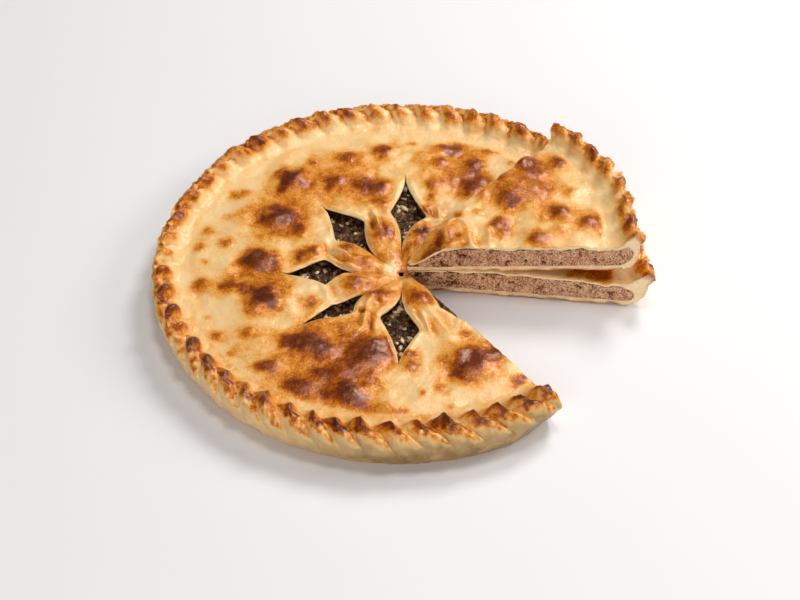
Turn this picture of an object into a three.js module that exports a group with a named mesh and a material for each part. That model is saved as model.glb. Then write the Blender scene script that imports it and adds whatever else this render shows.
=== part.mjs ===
// A round Ossetian pie about 320 mm across, with one slice cut out and laid back on top of it.
// The dough is one sheet that starts in the middle of the base, runs out under the filling, up and
// over the crimped rim, and back across the lid to the middle, where slits open the lid as a star.
// Every point of it is worked out from its angle round the pie and its place along that sheet.
// Millimetres, +Z up. The origin is on the base, under the middle of the star.

import * as THREE from 'three';
import { mergeVertices } from 'three/addons/utils/BufferGeometryUtils.js';

const DEGREE = Math.PI / 180;

// Driving sizes of the pie
const PIE_RADIUS = 158;
const LID_HEIGHT = 20;
const LID_THICKNESS = 3;
const BASE_THICKNESS = 5;
const FIT_GAP = 0.3;

// The two knife cuts, in degrees counter-clockwise from +X. The pie runs from the first cut round to
// the second, and the slice runs from the second on to the first.
const FIRST_CUT = -6.3;
const SECOND_CUT = 307.2;

// How the slice lies: its middle line points this way, its tip rests on the star and its outer end
// on the rim, which tilts it.
const SLICE_HEADING = 19.2;
const SLICE_TILT = 4.1;
const SLICE_LIFT = 19;

// The rim's outer skin, from the edge of the base up the wall, over the crest and down to the lid.
// inset and height place the skin, fold is the depth of the crimps there, and lag is how far round,
// in crimps, a fold has run on at that place.
const RIM_ROWS = [
  { inset: 8.5, height: 0, fold: 0, lag: 0.67 },
  { inset: 4.3, height: 2.5, fold: 0.2, lag: 0.67 },
  { inset: 1.6, height: 7, fold: 0.8, lag: 0.67 },
  { inset: 0.8, height: 12, fold: 1.8, lag: 0.5 },
  { inset: 1, height: 17, fold: 2.8, lag: 0.33 },
  { inset: 2.6, height: 21, fold: 3.2, lag: 0.17 },
  { inset: 6.5, height: 24, fold: 3.6, lag: 0 },
  { inset: 12, height: 25.6, fold: 4.4, lag: 0.17 },
  { inset: 17, height: 25.8, fold: 5, lag: 0.33 },
  { inset: 21.5, height: 22.6, fold: 2.4, lag: 0.5 },
  { inset: 26.5, height: 19.4, fold: 0.6, lag: 0.5 },
];

// The dough's inner face in the rim, which the filling lies against. One of these points serves two
// rows of the skin, after the first.
const HOLLOW_ROWS = [
  { inset: 12, height: BASE_THICKNESS },
  { inset: 8.6, height: 6.8 },
  { inset: 7.8, height: 9.6 },
  { inset: 9.8, height: 12.8 },
  { inset: 14, height: 15.3 },
  { inset: 22, height: 16.2 },
];
const LID_EDGE_RADIUS = 127;

// Crimps pressed round the rim
const CRIMP_COUNT = 54;
const CRIMP_PITCH = 360 / CRIMP_COUNT;
const CRIMP_START = 2.2;
const CRIMP_PEAK = 0.45;
const CRIMP_FALL_CURVE = 1.2;
const CRIMP_SINK = 0.42;
const CRIMP_VARIATION = 0.3;
const CRIMP_SAMPLES = 6;

// Slits cut in the lid before baking: where each points, how far out it reaches, and half its width
// at the waist, where the strips between the slits are narrowest.
const SLITS = [
  { angle: 12, reach: 76, halfWidth: 6 },
  { angle: 47, reach: 80, halfWidth: 8 },
  { angle: 86.5, reach: 82, halfWidth: 11 },
  { angle: 134.5, reach: 82, halfWidth: 10.5 },
  { angle: 184.5, reach: 76, halfWidth: 9.5 },
  { angle: 224, reach: 86, halfWidth: 8 },
  { angle: 268, reach: 88, halfWidth: 11.5 },
];
const CUT_SLIT = { angle: 303, reach: 66, halfWidth: 6.5 };
const WAIST_RADIUS = 48;
const SLIT_ROOT_RADIUS = 9;
const SLIT_INNER_CURVE = 2.4;
const SLIT_OUTER_CURVE = 1.1;

// Relief of the lid: it sinks towards the middle and beside the rim, each strip of the star is
// arched across, and the waist of the strip is pinched down.
const STAR_SINK = 3;
const STAR_SINK_RADIUS = 42;
const LID_EDGE_SINK = 1.7;
const LID_EDGE_SINK_START = 104;
const STRIP_ARCH = 1.5;
const WAIST_SINK = 1.2;
const WAIST_LENGTH = 7;

// The largest baked blisters: angle, distance from the middle, width and height
const BLISTERS = [
  { angle: 132, radius: 112, width: 26, height: 2.6 },
  { angle: 122, radius: 91, width: 20, height: 1.8 },
  { angle: 149, radius: 93, width: 30, height: 2.4 },
  { angle: 178, radius: 94, width: 26, height: 2.2 },
  { angle: 197, radius: 92, width: 30, height: 2.6 },
  { angle: 227, radius: 92, width: 28, height: 2 },
  { angle: 255, radius: 94, width: 26, height: 2.2 },
  { angle: 252, radius: 114, width: 26, height: 2.4 },
  { angle: 240, radius: 117, width: 20, height: 1.6 },
  { angle: 295, radius: 97, width: 30, height: 2.6 },
  { angle: 97, radius: 112, width: 20, height: 2 },
  { angle: 76, radius: 116, width: 20, height: 1.6 },
  { angle: 62, radius: 100, width: 24, height: 2 },
  { angle: 347, radius: 104, width: 30, height: 2.4 },
  { angle: 324, radius: 101, width: 18, height: 1.8 },
];

// The filling settles a little below the lid inside the star
const FILLING_SETTLE = 1.6;
const SETTLE_START = 92;
const SETTLE_FULL = 68;

// Fineness of the mesh, as radii across the lid and steps round it in degrees
const LID_RADII = [LID_EDGE_RADIUS, 118, 110, 102, 94, 88, 82, 76, 67, 58, 52, 48, 44, 38, 30, 20, 9];
const FILLING_RADII = [LID_EDGE_RADIUS, 110, 94, 80, 67, 48, 30, 12];
const CRIMP_STEP = CRIMP_PITCH / CRIMP_SAMPLES;
const LID_STEP = 4;
const HOLLOW_STEP = 6;
const STAR_EDGE_RADIUS = 90;
const STRIP_COLUMNS = { outer: 5, inner: 2 };
const FINE_ROW_FOLD = 0.5;
const VARIATION_SEED = 7;
const MERGE_DISTANCE = 1e-3;

const CRUST_LOOK = { color: 0xd9a862, roughness: 0.45, metalness: 0 };
const FILLING_LOOK = { color: 0x7d6052, roughness: 0.7, metalness: 0 };

// Repeatable random numbers between 0 and 1
function seededRandom(seed) {
  let state = seed >>> 0;
  return () => {
    state = (state * 1664525 + 1013904223) >>> 0;
    return state / 2 ** 32;
  };
}

const random = seededRandom(VARIATION_SEED);
const crimpStrengths = Array.from({ length: CRIMP_COUNT }, () => 1 + CRIMP_VARIATION * (random() - 0.5));

const smooth = (start, end, value) => THREE.MathUtils.smoothstep(value, start, end);

function polarPoint(angle, radius, height) {
  const turn = angle * DEGREE;
  return new THREE.Vector3(radius * Math.cos(turn), radius * Math.sin(turn), height);
}

// Height of one crimp, from 0 in the groove to 1 on its ridge, along a phase that counts crimps
function crimpRidge(phase) {
  const place = phase - Math.floor(phase);
  if (place < CRIMP_PEAK) {
    return Math.sin(((place / CRIMP_PEAK) * Math.PI) / 2);
  }
  return 1 - Math.sin((((place - CRIMP_PEAK) / (1 - CRIMP_PEAK)) * Math.PI) / 2) ** CRIMP_FALL_CURVE;
}

// Direction in which a rim row's crimps stand out, at right angles to the skin
function rimDirection(index) {
  const before = RIM_ROWS[Math.max(index - 1, 0)];
  const after = RIM_ROWS[Math.min(index + 1, RIM_ROWS.length - 1)];
  const outward = before.inset - after.inset;
  const upward = after.height - before.height;
  const length = Math.hypot(outward, upward);
  return { outward: upward / length, upward: -outward / length };
}

function rimPoint(index, angle) {
  const row = RIM_ROWS[index];
  const phase = (angle - CRIMP_START) / CRIMP_PITCH - row.lag;
  const crimp = ((Math.floor(phase) % CRIMP_COUNT) + CRIMP_COUNT) % CRIMP_COUNT;
  const rise = row.fold * crimpStrengths[crimp] * (crimpRidge(phase) - CRIMP_SINK);
  const direction = rimDirection(index);
  const radius = PIE_RADIUS - row.inset + rise * direction.outward;
  return polarPoint(angle, radius, row.height + rise * direction.upward);
}

function hollowPoint(index, angle) {
  const hollow = HOLLOW_ROWS[Math.ceil(index / 2)];
  return polarPoint(angle, PIE_RADIUS - hollow.inset, hollow.height);
}

// Height of the lid without blisters or strips
function lidHeight(radius) {
  const starSink = STAR_SINK * (1 - smooth(0, STAR_SINK_RADIUS, radius));
  const edgeSink = LID_EDGE_SINK * smooth(LID_EDGE_SINK_START, LID_EDGE_RADIUS, radius);
  return LID_HEIGHT - starSink - edgeSink;
}

function blisterRise(angle, radius) {
  const place = polarPoint(angle, radius, 0);
  let rise = 0;
  for (const blister of BLISTERS) {
    const distance = place.distanceTo(polarPoint(blister.angle, blister.radius, 0));
    rise += blister.height * (1 - smooth(0, blister.width / 2, distance));
  }
  return rise;
}

// Relief of a strip of the star; across runs from -1 to 1 between its two edges
function stripRise(radius, across) {
  const along = (radius - SLIT_ROOT_RADIUS) / (WAIST_RADIUS - SLIT_ROOT_RADIUS);
  const arch = STRIP_ARCH * Math.sin(THREE.MathUtils.clamp(along, 0, 1) * Math.PI) * (1 - across * across);
  const pinch = WAIST_SINK * Math.exp(-(((radius - WAIST_RADIUS) / WAIST_LENGTH) ** 2));
  return arch - pinch;
}

function lidPoint(radius, angle, across) {
  const height = lidHeight(radius) + blisterRise(angle, radius) + stripRise(radius, across);
  return polarPoint(angle, radius, height);
}

// Half the width of a slit at a distance from the middle: widest at the waist, closed at both ends
function slitHalfWidth(slit, radius) {
  if (radius >= slit.reach || radius <= SLIT_ROOT_RADIUS) {
    return 0;
  }
  if (radius > WAIST_RADIUS) {
    const outer = (slit.reach - radius) / (slit.reach - WAIST_RADIUS);
    return slit.halfWidth * outer ** SLIT_OUTER_CURVE;
  }
  const inner = (radius - SLIT_ROOT_RADIUS) / (WAIST_RADIUS - SLIT_ROOT_RADIUS);
  return slit.halfWidth * inner ** SLIT_INNER_CURVE;
}

// The edges of a sector of dough, as functions that give an angle at a distance from the middle
function slitEdge(slit, side) {
  return {
    angleAt: (radius) => {
      const halfWidth = slitHalfWidth(slit, radius);
      return halfWidth === 0 ? slit.angle : slit.angle + (side * halfWidth) / radius / DEGREE;
    },
    isOpen: (radius) => slitHalfWidth(slit, radius) > 0,
  };
}

function cutEdge(angle) {
  return { angleAt: () => angle, isOpen: () => true };
}

// A knife cut that runs along a slit, so that the dough beside it ends at whichever comes first
function cutThroughSlit(cut, slit, side) {
  const opening = slitEdge(slit, side);
  const nearer = side < 0 ? Math.min : Math.max;
  return {
    angleAt: (radius) => (opening.isOpen(radius) ? nearer(cut, opening.angleAt(radius)) : cut),
    isOpen: () => true,
  };
}

// Angles from start to end at whole multiples of step, with both ends
function steppedAngles(start, end, step) {
  const angles = [start];
  const margin = step / 3;
  for (let index = Math.ceil((start + margin) / step); index * step < end - margin; index += 1) {
    angles.push(index * step);
  }
  angles.push(end);
  return angles;
}

function evenAngles(start, end, columns) {
  return Array.from({ length: columns + 1 }, (_, index) => start + ((end - start) * index) / columns);
}

// The rows of the dough sheet, from the middle of the base to the middle of the lid. Each row gives
// its outer and inner points and the steps at which they are taken.
function doughRows() {
  const rows = [{
    radius: PIE_RADIUS,
    centre: true,
    outer: () => new THREE.Vector3(0, 0, 0),
    inner: () => new THREE.Vector3(0, 0, BASE_THICKNESS),
  }];
  RIM_ROWS.forEach((row, index) => {
    rows.push({
      radius: PIE_RADIUS,
      step: row.fold > FINE_ROW_FOLD ? CRIMP_STEP : HOLLOW_STEP,
      outer: (angle) => rimPoint(index, angle),
      inner: (angle) => hollowPoint(index, angle),
    });
  });
  for (const radius of LID_RADII) {
    rows.push({
      radius,
      step: radius > STAR_EDGE_RADIUS ? LID_STEP : 0,
      outer: (angle, across) => lidPoint(radius, angle, across),
      inner: (angle) => polarPoint(angle, radius, lidHeight(radius) - LID_THICKNESS),
    });
  }
  rows.push({
    radius: 0,
    centre: true,
    outer: () => new THREE.Vector3(0, 0, lidHeight(0)),
    inner: () => new THREE.Vector3(0, 0, lidHeight(0) - LID_THICKNESS),
  });
  return rows;
}

// Collects triangles as plain corner positions, without those that have shrunk to a line
class TriangleList {
  constructor() {
    this.corners = [];
  }

  triangle(a, b, c) {
    const shortest = Math.min(a.distanceTo(b), b.distanceTo(c), c.distanceTo(a));
    if (shortest > MERGE_DISTANCE) {
      this.corners.push(...a.toArray(), ...b.toArray(), ...c.toArray());
    }
  }

  // Joins two rows of points with triangles, row points being { at, share } with share from 0 to 1
  strip(lower, upper, flipped) {
    let low = 0;
    let high = 0;
    while (low < lower.length - 1 || high < upper.length - 1) {
      const nextLow = low < lower.length - 1 ? lower[low + 1].share : Infinity;
      const nextHigh = high < upper.length - 1 ? upper[high + 1].share : Infinity;
      const corners = [lower[low].at];
      if (nextLow <= nextHigh) {
        corners.push(lower[low + 1].at, upper[high].at);
        low += 1;
      } else {
        corners.push(upper[high + 1].at, upper[high].at);
        high += 1;
      }
      if (flipped) {
        corners.reverse();
      }
      this.triangle(...corners);
    }
  }

  geometry() {
    const geometry = new THREE.BufferGeometry();
    geometry.setAttribute('position', new THREE.Float32BufferAttribute(this.corners, 3));
    return mergeVertices(geometry, MERGE_DISTANCE);
  }
}

// One row's points across a sector, on the outer or the inner face
function sectorRow(row, side, start, end) {
  if (row.centre) {
    return [{ at: row[side](), share: 0.5 }];
  }
  const step = side === 'inner' && row.step > 0 ? HOLLOW_STEP : row.step;
  const angles = step > 0 ? steppedAngles(start, end, step) : evenAngles(start, end, STRIP_COLUMNS[side]);
  return angles.map((angle) => {
    const share = (angle - start) / (end - start);
    return { at: row[side](angle, 2 * share - 1), share };
  });
}

// Closes the side of the sheet between its outer and inner faces
function closeSide(list, outer, inner, nextOuter, nextInner, flipped) {
  const faces = [[outer, nextOuter, nextInner], [outer, nextInner, inner]];
  for (const face of faces) {
    list.triangle(...(flipped ? face.reverse() : face));
  }
}

// The dough between a starting edge and an ending edge
function addDoughSector(list, startEdge, endEdge) {
  const rows = doughRows().map((row) => {
    const start = startEdge.angleAt(row.radius);
    const end = endEdge.angleAt(row.radius);
    return {
      radius: row.radius,
      outer: sectorRow(row, 'outer', start, end),
      inner: sectorRow(row, 'inner', start, end),
    };
  });
  for (let index = 0; index < rows.length - 1; index += 1) {
    const row = rows[index];
    const next = rows[index + 1];
    list.strip(row.outer, next.outer, false);
    list.strip(row.inner, next.inner, true);
    if (startEdge.isOpen(row.radius) || startEdge.isOpen(next.radius)) {
      closeSide(list, row.outer[0].at, row.inner[0].at, next.outer[0].at, next.inner[0].at, false);
    }
    if (endEdge.isOpen(row.radius) || endEdge.isOpen(next.radius)) {
      const last = (points) => points[points.length - 1].at;
      closeSide(list, last(row.outer), last(row.inner), last(next.outer), last(next.inner), true);
    }
  }
}

function pieCrust() {
  const list = new TriangleList();
  let startEdge = cutEdge(FIRST_CUT);
  for (const slit of SLITS) {
    addDoughSector(list, startEdge, slitEdge(slit, -1));
    startEdge = slitEdge(slit, 1);
  }
  addDoughSector(list, startEdge, cutThroughSlit(SECOND_CUT, CUT_SLIT, -1));
  return list.geometry();
}

function sliceCrust() {
  const list = new TriangleList();
  addDoughSector(list, cutThroughSlit(SECOND_CUT, CUT_SLIT, 1), cutEdge(FIRST_CUT + 360));
  return list.geometry();
}

// Section of the filling from the middle of its underside round to the middle of its top, kept clear
// of the dough all round.
function fillingSection() {
  const hollow = HOLLOW_ROWS.map((row) => new THREE.Vector2(PIE_RADIUS - row.inset, row.height));
  const section = [new THREE.Vector2(0, BASE_THICKNESS + FIT_GAP)];
  hollow.forEach((point, index) => {
    const before = hollow[Math.max(index - 1, 0)];
    const after = hollow[Math.min(index + 1, hollow.length - 1)];
    const along = after.clone().sub(before).normalize();
    section.push(new THREE.Vector2(point.x - FIT_GAP * along.y, point.y + FIT_GAP * along.x));
  });
  section[1].y = BASE_THICKNESS + FIT_GAP;
  for (const radius of [...FILLING_RADII, 0]) {
    const settle = FILLING_SETTLE * (1 - smooth(SETTLE_FULL, SETTLE_START, radius));
    section.push(new THREE.Vector2(radius, lidHeight(radius) - LID_THICKNESS - FIT_GAP - settle));
  }
  return section;
}

// Filling turned round the middle from one angle to another, with its section on both cut faces
function filling(start, end) {
  const list = new TriangleList();
  const section = fillingSection();
  const rows = section.map((point) => {
    if (point.x === 0) {
      return [{ at: new THREE.Vector3(0, 0, point.y), share: 0.5 }];
    }
    const angles = steppedAngles(start, end, HOLLOW_STEP);
    return angles.map((angle) => {
      return { at: polarPoint(angle, point.x, point.y), share: (angle - start) / (end - start) };
    });
  });
  for (let index = 0; index < rows.length - 1; index += 1) {
    list.strip(rows[index], rows[index + 1], false);
  }
  for (const [a, b, c] of THREE.ShapeUtils.triangulateShape(section, [])) {
    const at = (angle, corner) => polarPoint(angle, section[corner].x, section[corner].y);
    list.triangle(at(start, a), at(start, b), at(start, c));
    list.triangle(at(end, c), at(end, b), at(end, a));
  }
  return list.geometry();
}

function pieceOf(name, geometry, look) {
  const mesh = new THREE.Mesh(geometry, new THREE.MeshStandardMaterial(look));
  mesh.name = name;
  return mesh;
}

// The slice is built where it was cut, turned so that its middle line lies along +X, tilted up
// towards the rim, and set down on the pie along its heading.
function placedSlice() {
  const asCut = new THREE.Group();
  asCut.rotation.z = -((SECOND_CUT + FIRST_CUT + 360) / 2) * DEGREE;
  asCut.add(
    pieceOf('slice_crust', sliceCrust(), CRUST_LOOK),
    pieceOf('slice_filling', filling(SECOND_CUT, FIRST_CUT + 360), FILLING_LOOK),
  );
  const tilted = new THREE.Group();
  tilted.rotation.y = -SLICE_TILT * DEGREE;
  tilted.add(asCut);
  const laidDown = new THREE.Group();
  laidDown.rotation.z = SLICE_HEADING * DEGREE;
  laidDown.position.z = SLICE_LIFT;
  laidDown.add(tilted);
  return laidDown;
}

const pie = new THREE.Group();
pie.add(
  pieceOf('pie_crust', pieCrust(), CRUST_LOOK),
  pieceOf('pie_filling', filling(FIRST_CUT, SECOND_CUT), FILLING_LOOK),
  placedSlice(),
);

export default pie;
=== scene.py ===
import math

import bmesh
import bpy
import numpy as np
from mathutils import Matrix, Vector


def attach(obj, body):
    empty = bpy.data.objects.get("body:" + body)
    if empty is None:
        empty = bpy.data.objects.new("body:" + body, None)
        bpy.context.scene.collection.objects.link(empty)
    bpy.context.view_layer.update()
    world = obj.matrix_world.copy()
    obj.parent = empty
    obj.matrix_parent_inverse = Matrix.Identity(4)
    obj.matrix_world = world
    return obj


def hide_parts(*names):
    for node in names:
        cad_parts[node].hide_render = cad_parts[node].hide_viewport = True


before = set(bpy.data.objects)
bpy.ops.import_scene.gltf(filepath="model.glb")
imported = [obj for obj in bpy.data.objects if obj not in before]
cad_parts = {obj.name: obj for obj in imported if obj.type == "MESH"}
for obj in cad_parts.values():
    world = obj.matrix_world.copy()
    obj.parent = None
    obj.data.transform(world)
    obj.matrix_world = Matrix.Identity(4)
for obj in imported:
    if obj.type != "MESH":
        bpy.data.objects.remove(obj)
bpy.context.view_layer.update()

MM = 0.001
TINY = 1e-6

# Camera, in pixels of the 800 by 600 picture and in millimetres: its height angle, its distance from the
# point on the ground in the middle of the picture, and that point
PICTURE_WIDTH = 800
PICTURE_HEIGHT = 600
FOCAL_PIXELS = 2000
SENSOR_WIDTH = 36
CAMERA_RANGE = 20
CAMERA_ELEVATION = math.radians(45.47)
CAMERA_DISTANCE = 1281.5
CAMERA_TARGET = (-1.5, -11.0)
PIXEL_SIZE = CAMERA_DISTANCE / FOCAL_PIXELS
PIXEL_ROUNDS = 8

# Driving sizes of the pie
PIE_RADIUS = 158.0
LID_HEIGHT = 20.0
LID_SEEN_HEIGHT = LID_HEIGHT + 1
LID_THICKNESS = 1.9
BASE_THICKNESS = 4.0
FIT_GAP = 0.08
FIRST_CUT = -6.3
SECOND_CUT = 307.2
PIE_SECOND_CUT = 308.6
SLICE_MIDDLE = (SECOND_CUT + FIRST_CUT + 360) / 2
SLICE_HEADING = 21.0
SLICE_TILT = 3.2
SLICE_ROLL = -2.0
SLICE_PLACE = (2.0, -3.5, 18.3)
SLICE_SPREAD = 1.045
SLICE_TIP_SAG = 10.0
SLICE_TIP_SAG_RADII = (3.0, 27.0)
SLICE_END_LEAN = 1.7
FILLING_SETTLE = 5.6
FILLING_SETTLE_RADII = (68.0, 92.0)
FILLING_SETTLE_FADE = 12.0

# Round the pie by angle, since it was shaped by hand: radius of the outer wall, of the crimps' tips and of
# the valley inside them, and how boldly the crimps stand out
PIE_ROUND = (
    (-7, 158.5, 151.5, 140.5, 0.8),
    (30, 158.0, 151.0, 139.0, 0.6),
    (60, 157.5, 149.5, 136.0, 0.55),
    (90, 157.0, 149.0, 134.5, 0.55),
    (120, 157.5, 150.0, 140.0, 0.6),
    (150, 158.0, 151.5, 143.0, 0.65),
    (180, 159.0, 153.0, 142.5, 0.75),
    (200, 157.5, 150.0, 141.0, 0.85),
    (215, 155.5, 147.3, 138.0, 0.95),
    (235, 154.5, 144.0, 134.0, 1.0),
    (260, 153.5, 142.5, 131.5, 1.0),
    (275, 152.8, 140.0, 129.5, 1.0),
    (309, 153.0, 141.0, 130.0, 1.0),
)
SLICE_ROUND = (
    (307, 147.0, 142.0, 131.0, 0.8),
    (330, 152.0, 147.0, 136.0, 0.75),
    (354, 150.5, 146.0, 138.5, 0.7),
)

# Rows of the rim's skin, from the edge of the base over the crimps to the edge of the lid. Their radius
# is the wall's, less an inset, a share of the way to the tips and a share of the way on to the valley.
RIM_INSET = (8.0, 3.8, 1.2, 0.2, 0.3, 1.2, 1.5, 0.5, 0.0, 0.0, 0.0, 0.0, 0.0)
RIM_TO_TIP = (0.0, 0.0, 0.0, 0.0, 0.0, 0.02, 0.4, 0.75, 1.0, 1.0, 1.0, 1.0, 1.0)
RIM_TO_VALLEY = (0.0, 0.0, 0.0, 0.0, 0.0, 0.0, 0.0, 0.0, 0.0, 0.35, 0.68, 1.0, 1.35)
RIM_HEIGHT = (0.0, 2.4, 6.5, 11.5, 16.0, 20.0, 23.4, 25.4, 26.2, 24.2, 20.8, 19.0, 18.3)
# Depth of the crimps in each row, how many crimps further round their folds have twisted there, how far
# their ridges lean towards the next fold, how pointed the ridges are, and how much of a sharp tooth they have
RIM_FOLD = (0.0, 0.1, 0.3, 0.7, 1.5, 2.9, 4.6, 5.4, 8.4, 5.2, 2.8, 1.2, 0.0)
RIM_TWIST = (1.45, 1.42, 1.36, 1.25, 1.07, 0.87, 0.63, 0.4, 0.25, 0.13, 0.05, 0.0, 0.0)
RIM_LEAN = (1.2, 1.2, 1.2, 1.2, 1.25, 1.3, 1.35, 1.4, 1.3, 1.3, 1.2, 1.2, 1.2)
RIM_POINT = (0.9, 0.9, 0.8, 0.7, 0.55, 0.5, 0.55, 0.8, 1.2, 1.1, 1.0, 1.0, 1.0)
RIM_TOOTH = (0.0, 0.0, 0.0, 0.0, 0.0, 0.0, 0.2, 0.7, 1.0, 0.7, 0.2, 0.0, 0.0)
RIM_LAST = len(RIM_HEIGHT) - 1
CRIMP_COUNT = 54
CRIMP_PITCH = 360 / CRIMP_COUNT
CRIMP_START = 5.5
CRIMP_SINK = 0.42
CRIMP_VARIATION = 0.5
CRIMP_BROWN_VARIATION = 0.24
CRIMP_DRIFT_RADIUS = 3.0
TOOTH_SHARPNESS = 1.1
# Crimps by which the count runs ahead, at angles round the pie
CRIMP_AHEAD = ((200, 0.0), (228, 0.3), (255, 0.55))
# Boldness of the crimps at the front, angles at which the rim comes nearest to the viewer, and the slant and
# the rise of the crimps' lips: the first number alone, the second as a weight of nearness or roughness
FRONT_BOLDNESS = (0.75, 1.0)
NEAR_ANGLES = (228.0, 272.0)
LIP_SLANT = (1.9, -0.7)
LIP_RISE = (1.0, 1.6)

# Where the slice lies on the rim, and the rim beside the cuts: angles, depths and heights
PRESSED_ANGLES = (-4.0, 50.0)
PRESS_FADE = 8.0
RIM_PRESS = 4.5
CRIMP_PRESS = 0.6
TWIST_FADE = 22.0
PIE_UNDERCUT = 8.0
SLICE_UNDERCUT = 1.5
UNDERCUT_ROWS = (0.0, 6.0)
CUT_END_REACH = 14.0
CUT_END_FLARE = 0.8
CUT_END_LIFT = 2.5
CUT_FLARE_REACH = 8.0
CUT_LEAN_REACH = 7.0
CUT_CRIMP = 0.65
CUT_CRIMP_REACH = 4.0

# Bands of the rim, in its rows: where each starts, is full, fades and ends. The crest's four are given at
# the back and at the front.
CUT_LEAN_ROWS = (4.5, 7.5, 9.0, 11.5)
CUT_LIFT_ROWS = (5.0, 7.5, 8.6, 10.4)
RIM_PRESS_ROWS = (3.0, 7.0, 9.0, 11.0)
RIM_LUMP_ROWS = (0.3, 2.0, 10.6, RIM_LAST)
LIP_ROWS = (5.8, 6.4, 7.0, 7.8)
TOP_ROWS = (5.8, 6.8, 8.8, 10.2)
FACE_ROWS = (6.5, 7.3, 9.2, 10.0)
CREST_ROWS = ((6.8, 6.8), (7.7, 7.7), (8.7, 8.6), (9.8, 9.5))
# Painted shade on the front wall below the lips: its band of rows, and the rows over which it lessens upward
WALL_SHADE_ROWS = (0.3, 1.2, 5.3, 6.4)
WALL_SHADE_FADE_ROWS = (2.0, 5.5)
INNER_ROWS = (8.6, 10.0)
UNDER_ROWS = (0.0, 1.2)
# Heights between which a crimp counts as lip, tip, face or crease; the crease is darkened as painted shade
LIP_LOBE = (0.15, 0.5)
TIP_LOBE = (0.4, 0.95)
FACE_LOBE = (0.05, 0.3)
CREASE_SHADE_LOBE = (0.0, 0.4)

# Rows of the hollow that the filling lies in: inset from the wall, share of the way from there to the
# edge of the lid, and height
PIE_HOLLOW = (
    (16.5, 0.0, 4.0), (12.8, 0.0, 5.0), (11.0, 0.0, 6.8), (10.4, 0.0, 8.8), (11.0, 0.0, 10.8),
    (13.0, 0.0, 12.8), (16.0, 0.0, 14.4), (16.0, 0.35, 15.4), (16.0, 0.7, 16.0), (16.0, 1.0, 16.4),
)
SLICE_HOLLOW = (
    (13.0, 0.0, 4.0), (9.4, 0.0, 5.6), (6.2, 0.0, 8.2), (4.4, 0.0, 11.0), (3.8, 0.0, 14.0),
    (4.8, 0.0, 17.0), (7.0, 0.0, 19.4), (7.0, 0.3, 18.0), (7.0, 0.65, 16.8), (7.0, 1.0, 16.4),
)
HOLLOW_LAST = len(PIE_HOLLOW) - 1
HOLLOW_BASE_RADIUS = PIE_RADIUS - 18

# Slits of the star: angle and radius of the outer tip, angle and radius where the sides meet again, and
# for the clockwise and the counterclockwise side the radius of the corner and its distance from the line
SLITS = (
    (12.0, 76, 12.0, 9, (48.0, 6.0), (48.0, 6.0)),
    (47.0, 80, 47.0, 9, (48.0, 8.0), (48.0, 8.0)),
    (88.5, 89, 92.0, 10, (49.5, 15.0), (51.0, 9.5)),
    (132.7, 81, 146.0, 9, (50.5, 11.5), (49.0, 15.5)),
    (184.1, 81, 189.0, 20, (50.0, 10.5), (51.5, 12.5)),
    (219.4, 88, 228.0, 18, (55.0, 3.0), (50.7, 11.5)),
    (268.4, 89, 268.0, 8, (47.0, 13.0), (55.7, 12.5)),
)
SLITS_SHOWN = SLITS[2:]
PIE_CUT_SLIT = (PIE_SECOND_CUT, 65, PIE_SECOND_CUT, 14, (44.0, 4.4), (44.0, 4.4))
SLICE_CUT_SLIT = (SECOND_CUT, 60, SECOND_CUT, 14, (40.0, 1.2), (40.0, 1.2))
SLIT_OUTER_CURVE = 1.8
SLIT_INNER_CURVE = 2.8
SLIT_CORNER_ROUND = 8
STAR_HOLE_RADIUS = 2.8
STAR_KNOT_ANGLE = 165.0
STAR_KNOT_WIDTH = 50.0
STAR_KNOT_RISE = 1.2
STAR_SHIFT = 4.0
STAR_SHIFT_RADIUS = 45.0
STAR_SHIFT_FADE = 35.0

# Relief of the lid
LID_EDGE_RADIUS = 127.0
LID_STRETCH_RADIUS = 95.0
STAR_SINK = 3.0
STAR_SINK_RADIUS = 42.0
LID_EDGE_SINK = 1.7
LID_EDGE_SINK_START = 104.0
PETAL_ARCH = 3.2
PETAL_FULLNESS = 0.7
PETAL_ROUNDNESS = 2.5
SLIT_LIP = 0.3
SLIT_ROUNDING = 0.7
SLIT_OPEN_WIDTH = 1.2
CUT_OPENNESS = 0.7
PETAL_OUTER_RADIUS = 48.0
PETAL_INNER_RADIUS = 8.0
LEAST_THICKNESS = 0.7
FOLD_ENDS = (0.08, 0.92)
FOLD_FULLNESS = 0.8
BLISTER_RISE = 1.15
BLISTER_STEEPNESS = 1.4
BLISTER_CORE = (0.3, 1.0)
BLISTER_HALO = (0.6, 1.8)
BLISTER_CORE_SHARE = 0.6
GOLDEN_REACH = (0.2, 1.2)
SLIT_LIP_DISTANCE = 2.4
SLIT_LIP_WIDTH = 1.5
SLIT_ROUNDING_WIDTH = 1.0
RIM_JOIN_RADII = (LID_EDGE_RADIUS - 5, LID_EDGE_RADIUS)
LID_LOOSE_RADII = (20.0, 60.0, *RIM_JOIN_RADII)
PETAL_CRUMPLE_RADII = (10.0, 24.0, 54.0, 70.0)
STAR_KNOT_RADII = (2.5, 5.0, 9.0, 16.0)
STAR_OPEN_RADII = (8.0, 20.0, 78.0, 92.0)
STAR_OPEN_FADE = 6.0
STAR_HOLE_RADII = (3.0, 6.0)
STAR_HOLE_NOISE_RADIUS = 4.0

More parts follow.
